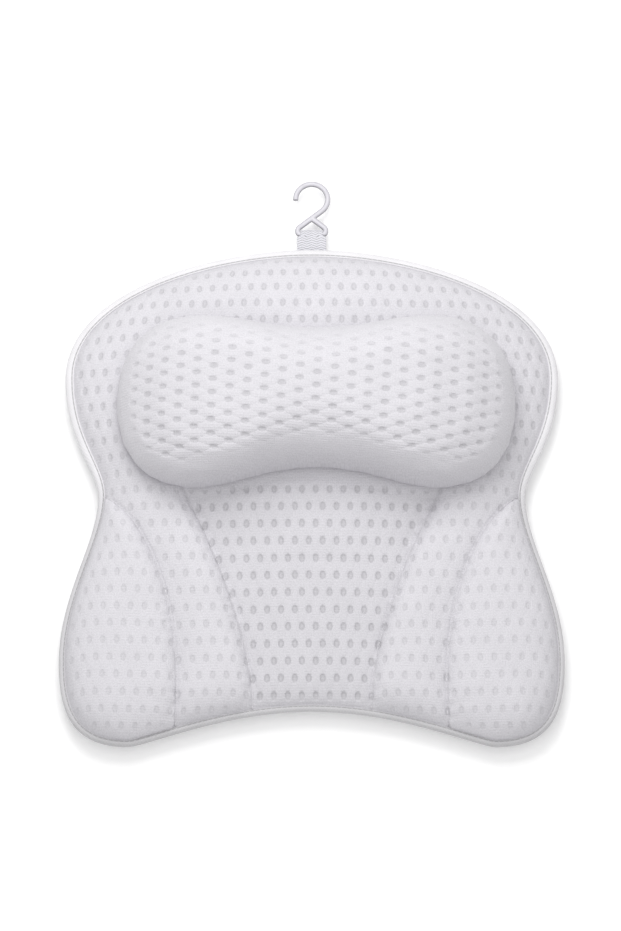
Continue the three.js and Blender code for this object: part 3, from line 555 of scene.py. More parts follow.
def panel(near, far, bottom, top, columns):
    """Places in a four-sided panel, from its side columns and its bottom and top edges."""
    u = np.linspace(0, 1, columns + 1)[:, None, None]
    v = row_rise[None, :, None]
    places = near[None] * (1 - u) + far[None] * u
    bottom_bow = bottom[:, None] - places[:, :1]
    top_bow = top[:, None] - places[:, -1:]
    return places + bottom_bow * (1 - v) + top_bow * v


def edge_steps(start, end, columns):
    return pad_rim(np.linspace(start, end, columns + 1))


panels = {
    CENTRE: panel(
        centre_column, inner_column, edge_steps(1, INNER_FOOT, CENTRE_COLUMNS),
        edge_steps(0, INNER_TOP_SHARE, CENTRE_COLUMNS), CENTRE_COLUMNS),
    CHANNEL: panel(
        inner_column, outer_column, edge_steps(INNER_FOOT, OUTER_FOOT, CHANNEL_COLUMNS),
        edge_steps(INNER_TOP_SHARE, SHOULDER_SHARE, CHANNEL_COLUMNS), CHANNEL_COLUMNS),
    WING: between(
        outer_column[:LOWER_ROWS + 1], edge_steps(OUTER_FOOT, waist_share, LOWER_ROWS),
        np.linspace(0, 1, WING_COLUMNS + 1)[:, None].repeat(LOWER_ROWS + 1, 1)),
}
print("panel grids:", {k: p.shape[:2] for k, p in panels.items()})

# %% Flat sheet of panels
def laid_grid(bm, places):
    """Adds a grid of quads whose points lie at an array of places."""
    columns, rows = places.shape[0] - 1, places.shape[1] - 1
    verts = bmesh.ops.create_grid(bm, x_segments=columns, y_segments=rows, size=0.5)["verts"]
    for vert in verts:
        vert.co = Vector(places[round((vert.co.x + 0.5) * columns), round((vert.co.y + 0.5) * rows)]).to_3d()
    return verts


def flat_sheet():
    """All panels of both halves as one welded flat sheet; a point layer names each point's panel."""
    bm = bmesh.new()
    tag = bm.verts.layers.int.new("panel")
    for number, places in panels.items():
        for vert in laid_grid(bm, places):
            vert[tag] = number
    bmesh.ops.mirror(bm, geom=bm.verts[:] + bm.edges[:] + bm.faces[:], axis="X", merge_dist=0.01 * MM)
    bmesh.ops.remove_doubles(bm, verts=bm.verts, dist=0.05 * MM)
    bmesh.ops.recalc_face_normals(bm, faces=bm.faces)
    if sum(face.normal.z for face in bm.faces) < 0:
        bmesh.ops.reverse_faces(bm, faces=bm.faces)
    bm.verts.ensure_lookup_table()
    return bm


def distance_to(line, places):
    """Distance from places, mirrored to the right half, to a line, and how far along the line its foot lies."""
    right = np.stack([np.abs(places[:, 0]), places[:, 1]], 1)[:, None]
    start, along = line[None, :-1], np.diff(line, axis=0)[None]
    share = ((right - start) * along).sum(-1) / np.maximum((along ** 2).sum(-1), 1e-18)
    foot = start + along * np.clip(share, 0, 1)[..., None]
    gaps = np.linalg.norm(right - foot, axis=-1)
    nearest = gaps.argmin(1)
    run = np.concatenate([[0], np.cumsum(np.linalg.norm(along[0], axis=1))])
    return gaps.min(1), run[nearest]


# %% [markdown]
# ## How far each panel swells
# A stuffed channel rises steeply beside its seam and is nearly level in the middle. On this pad the outer
# panel of each pair stands over the seam, so its roll is tight, and the inner panel climbs away from the seam
# slowly. The stuffing keeps the seams themselves from sinking all the way down. Under the neck roll the pad
# is pressed level.

# %% Swell of the front
COVER_TOP = 19.5 * MM
ROLL_LEVEL_Y = 285 * MM + FOOT_Y
ROLL_END, ROLL_LOBE, ROLL_LOBE_X = 164, 72.5, 97
REAR_NOTCH, FRONT_NOTCH = 10, 17
SWELL = {CENTRE: 11 * MM, CHANNEL: 18 * MM, WING: 21 * MM}
YOKE_SWELL, SEAT_SWELL = 17 * MM, 18 * MM
SWELL_BLEND = 150 * MM, 255 * MM
INNER_SEAM_RISE, OUTER_SEAM_RISE = 7.5 * MM, 12.5 * MM
SEAM_ROLLS = {CENTRE: (26, 1), CHANNEL: (14, 26), WING: (1, 14)}
RIM_ROLLS = {CENTRE: (24, 0.65), CHANNEL: (26, 0.6), WING: (34, 0.55)}
YOKE_RIM_ROLL = (40, 0.75)
rim_shares = np.linspace(0, 1, 260)
rim_line = pad_rim(rim_shares)


def roll_quarter(notch):
    """A quarter of the neck roll's outline about its centre, from the notch in its side to its end."""
    waist = curve((0, ROLL_LOBE - notch), (45, ROLL_LOBE - notch), (ROLL_LOBE_X - 32, ROLL_LOBE),
                  (ROLL_LOBE_X, ROLL_LOBE))
    lobe = curve((ROLL_LOBE_X, ROLL_LOBE), (ROLL_LOBE_X + 42, ROLL_LOBE), (ROLL_END, 48), (ROLL_END, 0))
    return np.concatenate([waist, lobe[1:]]) * MM


def roll_share(places):
    """How far out under the neck roll a place lies: 0 at its middle, 1 at its outline."""
    away = np.stack([np.abs(places[:, 0]), places[:, 1] - ROLL_LEVEL_Y], 1)
    share = np.empty(len(places))
    for notch, side in ((REAR_NOTCH, away[:, 1] >= 0), (FRONT_NOTCH, away[:, 1] < 0)):
        edge = roll_quarter(notch)[::-1]
        angle = np.arctan2(np.abs(away[side, 1]), away[side, 0])
        reach = np.interp(angle, np.arctan2(edge[:, 1], edge[:, 0]), np.linalg.norm(edge, axis=1))
        share[side] = np.linalg.norm(away[side], axis=1) / reach
    return share


def rounded(distance, roll, power=0.5):
    """Rises from 0 at a seam to 1 at the end of its roll: as a quarter circle at power 0.5, softer above."""
    return (1 - (1 - np.minimum(distance / (roll * MM), 1)) ** 2) ** power


def front_swell(places, tags):
    """Rise of the front at each place, and how much of it is pressed level by the neck roll."""
    (rim_gap, _), (inner_gap, _), (outer_gap, _) = (
        distance_to(line, places) for line in (rim_line, inner_seam, outer_seam))
    rise = np.zeros(len(places))
    yoke = smooth_step(*SWELL_BLEND, places[:, 1] - FOOT_Y)
    for tag in (CENTRE, CHANNEL, WING):
        here = tags == tag
        share = yoke[here] * (tag != WING)
        full = SWELL[tag] + (YOKE_SWELL - SWELL[tag]) * share
        gaps = zip((inner_gap, outer_gap), SEAM_ROLLS[tag])
        inner, outer = (rounded(gap[here], roll, 1) for gap, roll in gaps)
        sunk = (full - INNER_SEAM_RISE) * (1 - inner) + (full - OUTER_SEAM_RISE) * (1 - outer)
        roll, power = (a + (b - a) * share for a, b in zip(RIM_ROLLS[tag], YOKE_RIM_ROLL))
        rise[here] = (full - sunk) * rounded(rim_gap[here], roll, power)
    seat = 1 - smooth_step(0.90, 1.12, roll_share(places))
    return rise + (SEAT_SWELL - rise) * seat, seat


# %% [markdown]
# ## Stuffing by simulation
# The front starts a little slack and is blown up by cloth simulation, with gravity off. Its edge, its seams
# and the seat of the roll are pinned, because they are sewn down. A cap keeps every point near its drawn
# place. Then each point is told how far its holes show: most in the centre, less where a panel is stuffed
# tight, and not at all under the roll and a little way beyond its notch.

# %% Cloth simulation
def inflate(piece, pinned, pressure, cap, frames=20):
    """Blows a piece up between its pinned points and lets no point move further than the cap."""
    start = points_of(piece.data)
    sewn = piece.vertex_groups.new(name="sewn")
    sewn.add([int(k) for k in np.flatnonzero(pinned)], 1.0, "REPLACE")
    cloth = piece.modifiers.new("stuffing", "CLOTH")
    cloth.point_cache.frame_start, cloth.point_cache.frame_end = 1, frames
    cloth.collision_settings.use_collision = False
    settings = cloth.settings
    settings.quality = 6
    settings.use_pressure = True
    settings.uniform_pressure_force = pressure
    settings.effector_weights.gravity = 0
    settings.vertex_group_mass = sewn.name
    settings.tension_stiffness = settings.compression_stiffness = 20
    settings.bending_stiffness = 1.0
    for number in range(1, frames + 1):
        bpy.context.scene.frame_set(number)
    shown = piece.evaluated_get(bpy.context.evaluated_depsgraph_get())
    move = points_of(shown.data) - start
    length = np.linalg.norm(move, axis=1)
    piece.modifiers.clear()
    piece.vertex_groups.clear()
    move_points(piece.data, start + move * np.minimum(1, cap / np.maximum(length, 1e-9))[:, None])
    bpy.context.scene.frame_set(1)
    print(piece.name, "swelled", (np.array([length.mean(), length.max()]) / MM).round(2), "mm, mean and most")


# %% Front of the pad, sewn and stuffed
START_SHARE = 0.95
HOLES_IN_VIEW = {CENTRE: 0.95, CHANNEL: 0.56, WING: 0.48}
YOKE_HOLES, HOLE_BLEND = 0.8, (225 * MM, 255 * MM)
NOTCH_CLEAR, NOTCH_REACH = 0.16, 55 * MM
ON_SEAM, PINNED = 0.1 * MM, 0.2 * MM
bm = flat_sheet()
plan = np.array([vert.co[:2] for vert in bm.verts])
tags = np.array([vert[bm.verts.layers.int["panel"]] for vert in bm.verts])
swell, seat = front_swell(plan, tags)
rim_gap, _ = distance_to(rim_line, plan)
inner_gap, inner_run = distance_to(inner_seam, plan)
outer_gap, outer_run = distance_to(outer_seam, plan)
crease = bm.edges.layers.float.new("crease_edge")
for edge in bm.edges:
    ends = [v.index for v in edge.verts]
    if not edge.is_boundary and min(max(inner_gap[ends]), max(outer_gap[ends])) < ON_SEAM:
        edge[crease] = 1.0
for vert, rise in zip(bm.verts, swell * np.where(seat > 0.5, 1, START_SHARE)):
    vert.co.z = COVER_TOP + rise
pad_front = to_piece("pad_front", bm, pad_mesh)
seam_gap = np.minimum(inner_gap, outer_gap)
inflate(pad_front, (np.minimum(seam_gap, rim_gap) < PINNED) | (seat > 0.5), pressure=3.0, cap=3 * MM)

shown = np.array([HOLES_IN_VIEW[tag] for tag in tags])
yoke = smooth_step(*HOLE_BLEND, plan[:, 1] - FOOT_Y)
shown = (shown + (YOKE_HOLES - shown) * yoke) * smooth_step(1 * MM, 6 * MM, rim_gap)
notch = np.exp(-(plan[:, 0] / NOTCH_REACH) ** 2) * (plan[:, 1] < ROLL_LEVEL_Y)
clear = smooth_step(0.94, 1.03, roll_share(plan) - NOTCH_CLEAR * notch)
by_inner = inner_gap < outer_gap
seam_marks = {
    "rim_gap": rim_gap, "seam_gap": seam_gap, "seam_run": np.where(by_inner, inner_run, outer_run),
    "over_seam": np.where(by_inner, tags == CHANNEL, tags == WING)}
for name, values in {"open": shown * clear, **seam_marks}.items():
    store_values(pad_front.data, name, values)
print("front sheet points:", len(plan))

# %% Subdivide the front
def subdivide(piece, levels):
    finer = piece.modifiers.new("finer", "SUBSURF")
    finer.levels = finer.render_levels = levels
    apply_modifiers(piece)


subdivide(pad_front, 2)
print("front points after subdivision:", len(pad_front.data.vertices))

# %% [markdown]
# ## Laying the cloth map
# A woven or knitted sheet keeps its spacing along the surface, not along the plan, so the holes crowd together
# where the pad rolls over its edge. The map measures the surface from above on a fine grid and adds up the
# lengths of its steps, across from the middle line and along from a chosen row. The heights are blurred first,
# because the sheet was knitted before the seams were sewn, and its rows run straight on across them.

# %% Cloth map
MAP_STEP = 2 * MM
STEEPEST = 1.6


def soften(heights, reach):
    """Blurs a map of heights over a reach given in grid steps."""
    weights = np.hanning(2 * reach + 3)[1:-1]
    for axis in (0, 1):
        wide = np.pad(heights, [(reach, reach) if k == axis else (0, 0) for k in (0, 1)], mode="edge")
        heights = np.apply_along_axis(np.convolve, axis, wide, weights / weights.sum(), "valid")
    return heights


def cloth_map(piece, origin, floor, blur):
    """Cloth coordinates of each point of a piece, measured along its blurred upper surface from an origin."""
    mesh = piece.data
    points = points_of(mesh)
    tree = BVHTree.FromPolygons(points.tolist(), [tuple(p.vertices) for p in mesh.polygons])
    low, high = points.min(0)[:2] - MAP_STEP, points.max(0)[:2] + 2 * MAP_STEP
    grids = [np.arange(low[k], high[k], MAP_STEP) for k in (0, 1)]
    heights = np.full([len(g) for g in grids], floor)
    for i, x in enumerate(grids[0]):
        for j, y in enumerate(grids[1]):
            hit = tree.ray_cast(Vector((x, y, 1)), Vector((0, 0, -1)))[0]
            if hit is not None:
                heights[i, j] = hit.z
    heights = soften(heights, blur)
    cloth = []
    for axis in (0, 1):
        rise = np.clip(np.diff(heights, axis=axis), -STEEPEST * MAP_STEP, STEEPEST * MAP_STEP)
        length = np.cumsum(np.hypot(rise, MAP_STEP), axis=axis)
        length = np.concatenate([np.zeros_like(length.take([0], axis)), length], axis)
        start = round((origin[axis] - low[axis]) / MAP_STEP)
        cloth.append(length - length.take([start], axis))
    cell = (points[:, :2] - low) / MAP_STEP
    i, j = np.floor(cell).astype(int).T
    fx, fy = (cell - np.floor(cell)).T
    values = []
    for grid in cloth:
        near = grid[i, j] * (1 - fx) + grid[i + 1, j] * fx
        far = grid[i, j + 1] * (1 - fx) + grid[i + 1, j + 1] * fx
        values.append(near * (1 - fy) + far * fy)
    return np.stack(values, 1)


# %% Dents of the holes
def oval_mesh(cloth, pitch, oval):
    """How deep in a hole, and how far up the bulge between holes, each place on the cloth lies."""
    cell = cloth / pitch
    reach = [np.linalg.norm(((cell + s) % 1 - 0.5) * pitch / oval, axis=1) for s in (0.5, 0.0)]
    hole = 1 - smooth_step(0.55, 1.2, np.minimum(*reach))
    bulge = np.sin(np.pi * (cell[:, 0] + cell[:, 1])) * np.sin(np.pi * (cell[:, 0] - cell[:, 1]))
    return hole, np.sqrt(np.abs(bulge))


def press_holes(piece, cloth, opened, pitch, oval, depth, bulge):
    """Sinks the holes into a piece along its normals and raises the yarn between them."""
    hole, puff = oval_mesh(cloth, pitch, oval)
    move = (bulge * puff - depth * hole) * opened
    move_points(piece.data, points_of(piece.data) + normals_of(piece.data) * move[:, None])


def levels_of(piece):
    """How far up from the feet each point of a piece lies."""
    return points_of(piece.data)[:, 1] - FOOT_Y


PAD_CLOTH_ORIGIN = (-2.1 * MM, -46 * MM)
YOKE_SQUEEZE, YOKE_SLIP, SLIP_BLEND = 0.08, 2.2 * MM, (280 * MM, 430 * MM)
cloth = cloth_map(pad_front, PAD_CLOTH_ORIGIN, COVER_TOP, blur=8)
yoke = smooth_step(*SLIP_BLEND, levels_of(pad_front))
cloth[:, 0] *= 1 + YOKE_SQUEEZE * yoke
cloth[:, 1] -= YOKE_SLIP * yoke
opened = values_of(pad_front.data, "open")
press_holes(pad_front, cloth, opened, PAD_PITCH, PAD_OVAL, depth=0.9 * MM, bulge=0.3 * MM)
print("cloth across the pad in mm:", (np.ptp(cloth, axis=0) / MM).round(1))

# %% [markdown]
# The thread pinches the cloth into a narrow groove and pulls small tucks beside it. The tucks show most on the
# panel that stands over the seam, they die out within two centimetres, and no two on a seam are alike. The
# groove, the low side of the seam and the rim beside the binding get little light and are marked to be greyed.

# %% Groove and tucks along the seams
GROOVE_DEPTH, GROOVE_REACH = 0.9 * MM, 1.2 * MM
SEAM_GREY, SHADE_GREY, LOBE_GREY, YOKE_GREY = 0.58, 0.32, 0.3, 0.15
SHADE_REACH, RIM_REACH, RIM_BLEND = 10 * MM, 1.8 * MM, (190 * MM, 245 * MM)
TUCK_PITCH, TUCK_HEIGHT, TUCK_REACH = 9.5 * MM, 0.7 * MM, 6 * MM
edge_gap, gap, run, over = (values_of(pad_front.data, name) for name in seam_marks)
wander = 1.3 * np.sin(run / (17 * MM)) + 0.9 * np.sin(run / (7.3 * MM) + 1)
tuck = np.sin(2 * np.pi * run / TUCK_PITCH + wander) * np.exp(-gap / TUCK_REACH) * smooth_step(0, 2 * MM, gap)
tuck *= (0.3 + 0.7 * over) * (0.65 + 0.35 * np.sin(run / (11 * MM)))
pinch = np.exp(-(gap / GROOVE_REACH) ** 2)
rise = tuck * TUCK_HEIGHT - pinch * GROOVE_DEPTH
move_points(pad_front.data, points_of(pad_front.data) + normals_of(pad_front.data) * rise[:, None])
# Painted shade beside the binding, stronger at the lobes than round the yoke, and on the low side of each seam.
rim_shade = LOBE_GREY + (YOKE_GREY - LOBE_GREY) * smooth_step(*RIM_BLEND, levels_of(pad_front))
rim_shade *= np.exp(-(edge_gap / RIM_REACH) ** 2)
shade = SHADE_GREY * (1 - over) * np.exp(-(gap / SHADE_REACH) ** 2)
store_values(pad_front.data, "sewn", np.maximum.reduce([SEAM_GREY * pinch, shade, rim_shade]))
for name in seam_marks:
    pad_front.data.attributes.remove(pad_front.data.attributes[name])
print("highest tuck in mm:", round(abs(tuck).max() * TUCK_HEIGHT / MM, 2))

# %% [markdown]
# The edge of the front is trimmed to a flat hem that lies inside the folded binding. Extruding the open edge
# outwards makes the hem, extruding it down gives the sheet its thickness, and a flat face below closes the
# form where it rests on the back.

# %% Hem and underside
FRONT_BOTTOM = 17.2 * MM
whole_edge = np.concatenate([outline, outline[-2:0:-1] * [-1, 1]])
whole_inward = np.concatenate([inward, inward[-2:0:-1] * [-1, 1]])


def add_hem(piece, rise):
    """Extrudes the open edge of a sheet out to its hem and up or down, and closes it with a flat face."""
    bm = bmesh.new()
    bm.from_mesh(piece.data)
    edges = [e for e in bm.edges if e.is_boundary]
    hem = bmesh.ops.extrude_edge_only(bm, edges=edges)["geom"]
    for vert in (g for g in hem if isinstance(g, bmesh.types.BMVert)):
        nearest = np.argmin(((whole_edge - np.array(vert.co[:2])) ** 2).sum(1))
        vert.co.xy = whole_edge[nearest] + whole_inward[nearest] * HEM_INSET
    edges = [g for g in hem if isinstance(g, bmesh.types.BMEdge) and g.is_boundary]
    wall = bmesh.ops.extrude_edge_only(bm, edges=edges)["geom"]
    bmesh.ops.translate(bm, verts=[g for g in wall if isinstance(g, bmesh.types.BMVert)], vec=(0, 0, rise))
    edges = [g for g in wall if isinstance(g, bmesh.types.BMEdge) and g.is_boundary]
    bmesh.ops.triangle_fill(bm, edges=edges, use_beauty=True, normal=(0, 0, 1))
    bmesh.ops.recalc_face_normals(bm, faces=bm.faces)
    bm.to_mesh(piece.data)
    bm.free()
    piece.data.shade_smooth()


before = len(pad_front.data.vertices)
add_hem(pad_front, FRONT_BOTTOM - COVER_TOP)
extra = points_of(pad_front.data)[before:, :2] - PAD_CLOTH_ORIGIN
store_uv(pad_front.data, "cloth", np.concatenate([cloth, extra]))
store_values(pad_front.data, "open", np.concatenate([opened, np.zeros(len(extra))]))
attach(pad_front, "pad")
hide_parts("front_cover", "centre_fill", "left_channel_fill", "right_channel_fill",
            "left_wing_fill", "right_wing_fill", "yoke_fill")
print("pad_front faces:", len(pad_front.data.polygons))

# %% [markdown]
# ## Back of the pad
# The quilting goes through both covers, so the back has the same seams, but it only swells a few millimetres,
# and it is drawn flat where the cup patches are sewn on.

# %% Back cover
BACK_BOTTOM, BACK_TOP = 15 * MM, 17 * MM
BACK_SWELL, BACK_RIM_ROLL, BACK_SEAM_ROLL = 4.5 * MM, 30, 24
PATCH_FLAT, PATCH_BLEND = 21 * MM, 44 * MM
CUPS = {
    f"{row}_{hand}": level((sign * x, y))
    for row, (x, y) in {"upper": (112, 342), "middle": (104, 208), "lower": (143, 74)}.items()
    for hand, sign in (("left", -1), ("right", 1))
}
bm = flat_sheet()
plan = np.array([vert.co[:2] for vert in bm.verts])
gaps = [distance_to(line, plan)[0] for line in (rim_line, inner_seam, outer_seam)]
rolls = (BACK_RIM_ROLL, BACK_SEAM_ROLL, BACK_SEAM_ROLL)
sag = BACK_SWELL * np.prod([rounded(gap, roll) for gap, roll in zip(gaps, rolls)], axis=0)
for cup in CUPS.values():
    sag *= smooth_step(PATCH_FLAT, PATCH_BLEND, np.linalg.norm(plan - cup, axis=1))
for vert, fall in zip(bm.verts, sag):
    vert.co.z = BACK_BOTTOM - fall
bmesh.ops.reverse_faces(bm, faces=bm.faces)
pad_back = to_piece("pad_back", bm, back_cloth)
subdivide(pad_back, 1)
add_hem(pad_back, BACK_TOP - BACK_BOTTOM)
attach(pad_back, "pad")
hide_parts("back_cover")
print("pad_back faces:", len(pad_back.data.polygons))

# %% [markdown]
# ## Edge binding
# A tape folded round the raw edge of both covers. Its section is a thin C with a rounded back. A curve with a
# bevel object could sweep it, but this tape shows less of its width beside the lobes, so a grid is laid round
# it instead: every point of the section runs along the outline at its own inset. A groove near the inner edge
# takes the stitches. The tape is whitest round the yoke and greyer at the lobes, which keep the light from it.

# %% Binding tape
BINDING_LOW, BINDING_HIGH = (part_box("edge_binding")[k].z for k in (0, 1))
BINDING_MIDDLE, BINDING_HALF = (BINDING_HIGH + BINDING_LOW) / 2, (BINDING_HIGH - BINDING_LOW) / 2
TAPE = 0.9 * MM
STITCH_SHARE, STITCH_SINK = 0.78, 0.88
LOBE_LIT, YOKE_GAIN, FOOT_LOSS, STITCH_LOSS = -0.12, 0.72, 0.18, 1.6
LIT_BLEND, FOOT_BLEND = (185 * MM, 250 * MM), (0, 50 * MM)


def section_of_binding():
    """The C, round its outside and back inside the tape, as shares of the width, shifts inwards and heights."""
    points = []
    for thickness, order in ((0, 1), (TAPE, -1)):
        bend = BINDING_HALF - thickness
        arm = [(1.0, 0, 0.9 * bend), (0.93, 0, 0.97 * bend), (STITCH_SHARE, 0, STITCH_SINK * bend),
               (0.67, 0, bend), (0.6, 0, bend)]
        turn = [(0.6 * (1 - math.sin(a)), thickness * math.sin(a), bend * math.cos(a))
                for a in np.linspace(0, math.pi, 15)[1:-1]]
        side = arm + turn + [(share, back, -z) for share, back, z in arm[::-1]]
        points += side[::order]
    return [(share, back, z + BINDING_MIDDLE) for share, back, z in points]


def swept_binding():
    """Lays a grid round the section and round the pad, and welds its edges to a closed tube."""
    loops = []
    for share, back, z in section_of_binding():
        right = rim(rim_shares, edge_width(rim_shares) * share + back)
        around = np.concatenate([right, right[-2::-1] * [-1, 1]])
        loops.append(np.column_stack([around, np.full(len(around), z)]))
    bm = bmesh.new()
    laid_grid(bm, np.array(loops + loops[:1]))
    bmesh.ops.remove_doubles(bm, verts=bm.verts, dist=0.01 * MM)
    bmesh.ops.recalc_face_normals(bm, faces=bm.faces)
    return bm


binding = to_piece("binding_tape", swept_binding(), binding_cloth)
rise = levels_of(binding)
# Painted shade: lit greys the tape beside the lobes, more near their feet, and most in the stitch groove.
lit = LOBE_LIT + YOKE_GAIN * smooth_step(*LIT_BLEND, rise) - FOOT_LOSS * (1 - smooth_step(*FOOT_BLEND, rise))
from_middle = np.abs(points_of(binding.data)[:, 2] - BINDING_MIDDLE)
in_groove = np.isclose(from_middle, STITCH_SINK * BINDING_HALF, atol=0.01 * MM)
store_values(binding.data, "lit", lit - STITCH_LOSS * in_groove)
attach(binding, "pad")
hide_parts("edge_binding")
print("binding faces:", len(binding.data.polygons))

# %% [markdown]
# ## Stitches
# A row of top-stitches holds the binding, and others lie deep in the grooves of the quilting. Each stitch is a
# small capsule of thread that dips into the cloth at both ends, so a stretched ball of thirty faces is enough.

# %% Stitch rows
STITCH_PITCH, STITCH_LENGTH, THREAD_WIDTH = 4.4 * MM, 3.0 * MM, 0.75 * MM
STITCH_DROP = (1 - STITCH_SINK) * BINDING_HALF + 0.28 * MM


def one_stitch():
    """A ball of unit size, which is stretched and turned into each stitch."""
    bm = bmesh.new()
    bmesh.ops.create_uvsphere(bm, u_segments=6, v_segments=5, radius=1)
    mesh = bpy.data.meshes.new("stitch")
    bm.to_mesh(mesh)
    bm.free()
    return mesh


STITCH = one_stitch()


def add_stitches(bm, line, height):
    """Sews stitches along a flat line of places, at one height or a height for each place."""
    count = int(length_of(line) / STITCH_PITCH)
    run = run_along(line)
    track = [line[:, 0], line[:, 1], np.broadcast_to(height, len(line))]
    for k in range(count):
        ends = [(k + 0.5 + side * 0.5 * STITCH_LENGTH / STITCH_PITCH) / count for side in (-1, 1)]
        a, b = (Vector([np.interp(end, run, values) for values in track]) for end in ends)
        turn = (b - a).to_track_quat("X", "Z").to_matrix().to_4x4()
        size = Matrix.Diagonal(((b - a).length / 2, THREAD_WIDTH / 2, THREAD_WIDTH / 2, 1))
        place = Matrix.Translation((a + b) / 2) @ turn @ size
        STITCH.transform(place)
        bm.from_mesh(STITCH)
        STITCH.transform(place.inverted())
    return count


bm = bmesh.new()
shares = np.linspace(0, 1, 500)
right_edge = rim(shares, edge_width(shares) * STITCH_SHARE)
round_edge = np.concatenate([right_edge, right_edge[::-1] * [-1, 1]])
sewn_top = add_stitches(bm, round_edge, BINDING_HIGH - STITCH_DROP)
sewn_back = add_stitches(bm, round_edge, BINDING_LOW + STITCH_DROP)
binding_stitches = to_piece("binding_stitches", bm, thread)
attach(binding_stitches, "pad")
print("binding stitches:", sewn_top + sewn_back)

# %% Stitches of the quilting seams
SEAM_DROP, BACK_DROP = 1.4 * GROOVE_DEPTH, 0.1 * MM
bm = bmesh.new()
sewn = 0
for line, tag in ((outer_seam, WING), (inner_seam, CENTRE)):
    rise, _ = front_swell(line, np.full(len(line), tag))
    for mirror in (1, -1):
        places = line * [mirror, 1]
        sewn += add_stitches(bm, places, COVER_TOP + START_SHARE * rise - SEAM_DROP)
        sewn += add_stitches(bm, places, BACK_BOTTOM - BACK_DROP)
quilting_stitches = to_piece("quilting_stitches", bm, thread)
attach(quilting_stitches, "pad")
print("quilting stitches:", sewn)

# %% [markdown]
# ## Neck roll
# The roll is a bone-shaped bag of the same mesh, stuffed tight. It starts from a copy of its fill, which is a
# little smaller than the cover, is remeshed to even quads, blown up by the same simulation and fitted to the
# cover's box. It lies a little right of the middle, and its cloth is slightly askew. Its holes show on top, are
# fainter on the rear slope and close towards its lower side.

# %% Stuffed roll
ROLL_SHIFT = 3.8 * MM
ROLL_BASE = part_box("bolster_backing")[0].z
ROLL_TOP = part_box("bolster_cover")[1].z
FILL_LOW, FILL_HIGH = (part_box("bolster_fill")[k].z for k in (0, 1))


def melt(piece, quad, passes):
    """Remeshes a piece to even quads, which joins what overlaps, and smooths it."""
    even = piece.modifiers.new("even", "REMESH")
    even.mode, even.voxel_size = "VOXEL", quad
    piece.modifiers.new("smoother", "SMOOTH").iterations = passes
    apply_modifiers(piece)
    piece.data.shade_smooth()


bm = bmesh.new()
bm.from_mesh(frame["nodes"]["bolster_fill"].data)
bmesh.ops.remove_doubles(bm, verts=bm.verts, dist=0.01 * MM)
for vert in bm.verts:
    vert.co.z -= (FILL_LOW - ROLL_BASE) * (FILL_HIGH - vert.co.z) / (FILL_HIGH - FILL_LOW)
neck_roll = to_piece("neck_roll", bm, roll_mesh)
melt(neck_roll, quad=5 * MM, passes=6)
points = points_of(neck_roll.data)
inflate(neck_roll, points[:, 2] < ROLL_BASE + 2 * MM, pressure=2.0, cap=1.5 * MM)
points = points_of(neck_roll.data)
cover_low, cover_high = (np.array(corner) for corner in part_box("bolster_cover"))
cover_low[2] = ROLL_BASE
points = cover_low + (points - points.min(0)) / np.ptp(points, axis=0) * (cover_high - cover_low)
move_points(neck_roll.data, points + [ROLL_SHIFT, 0, 0])
subdivide(neck_roll, 2)
print("neck roll faces:", len(neck_roll.data.polygons))

# %% Holes of the roll
ROLL_CLOTH_ORIGIN = (4.0 * MM, 282.3 * MM + FOOT_Y)
ROLL_TURN = 0.065
REAR_FADE = 0.5
LOWEST_HOLES, FULL_HOLES = ROLL_BASE + 25 * MM, ROLL_BASE + 45 * MM
cloth = cloth_map(neck_roll, ROLL_CLOTH_ORIGIN, ROLL_BASE + 20 * MM, blur=4)
cloth = cloth @ np.array([[1, ROLL_TURN], [-ROLL_TURN, 1]])
points = points_of(neck_roll.data)
across, back, up = normals_of(neck_roll.data).T
opened = smooth_step(0.64, 0.92, np.abs(up) + 0.25 * np.abs(across))
opened *= 1 - REAR_FADE * smooth_step(0.05, 0.5, back)
opened *= smooth_step(LOWEST_HOLES, FULL_HOLES, points[:, 2])
press_holes(neck_roll, cloth, opened, ROLL_PITCH, ROLL_OVAL, depth=0.7 * MM, bulge=0.5 * MM)
store_uv(neck_roll.data, "cloth", cloth)
store_values(neck_roll.data, "open", opened)
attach(neck_roll, "pad")
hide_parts("bolster_cover", "bolster_fill", "bolster_backing")
print("roll top in mm:", round(points[:, 2].max() / MM, 1), "of", round(ROLL_TOP / MM, 1))

# %% [markdown]
# ## Webbing loop
# One strip of webbing is sewn under the top edge, runs out, folds round the hook's bar and comes back on
# itself. It is laid out as a flat grid, bent along its route, gathered where it goes through the narrower eye,
# ribbed like herringbone and given its thickness.

# %% Webbing strip
STRAP_WIDTH, GATHERED_WIDTH, STRAP_THICKNESS = 24 * MM, 18 * MM, 1.4 * MM
TAIL_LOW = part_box("loop_tail")[0]
LOOP = {joint["name"]: Vector(joint["pos_m"]) for joint in frame["joints"][:2]}
BAR, ROOT = LOOP["hook_swing"], LOOP["loop_flex"]
BAR_RADIUS, BAR_PLAY = 2 * MM, 0.35 * MM
FOLD = BAR_RADIUS + BAR_PLAY + STRAP_THICKNESS / 2
GATHER_START, GATHER_END = BAR.y - 3.5 * MM, BAR.y - 2.1 * MM
ACROSS, STEP_ALONG = 60, 0.45 * MM


def strap_route():
    """Places along the strip's middle as (y, z): out below, round the bar and back above."""
    half = STRAP_THICKNESS / 2
    lean = math.asin((FOLD - half) / (BAR.y - ROOT.y))
    angles = np.linspace(-math.pi / 2 - lean, math.pi / 2 + lean, 25)
    fold = [(BAR.y + FOLD * math.cos(a), BAR.z + FOLD * math.sin(a)) for a in angles]
    out = [(TAIL_LOW.y, ROOT.z - half), (ROOT.y, ROOT.z - half)]
    back = [(ROOT.y, ROOT.z + half), (TAIL_LOW.y, ROOT.z + half)]
    return np.array(out + fold + back)


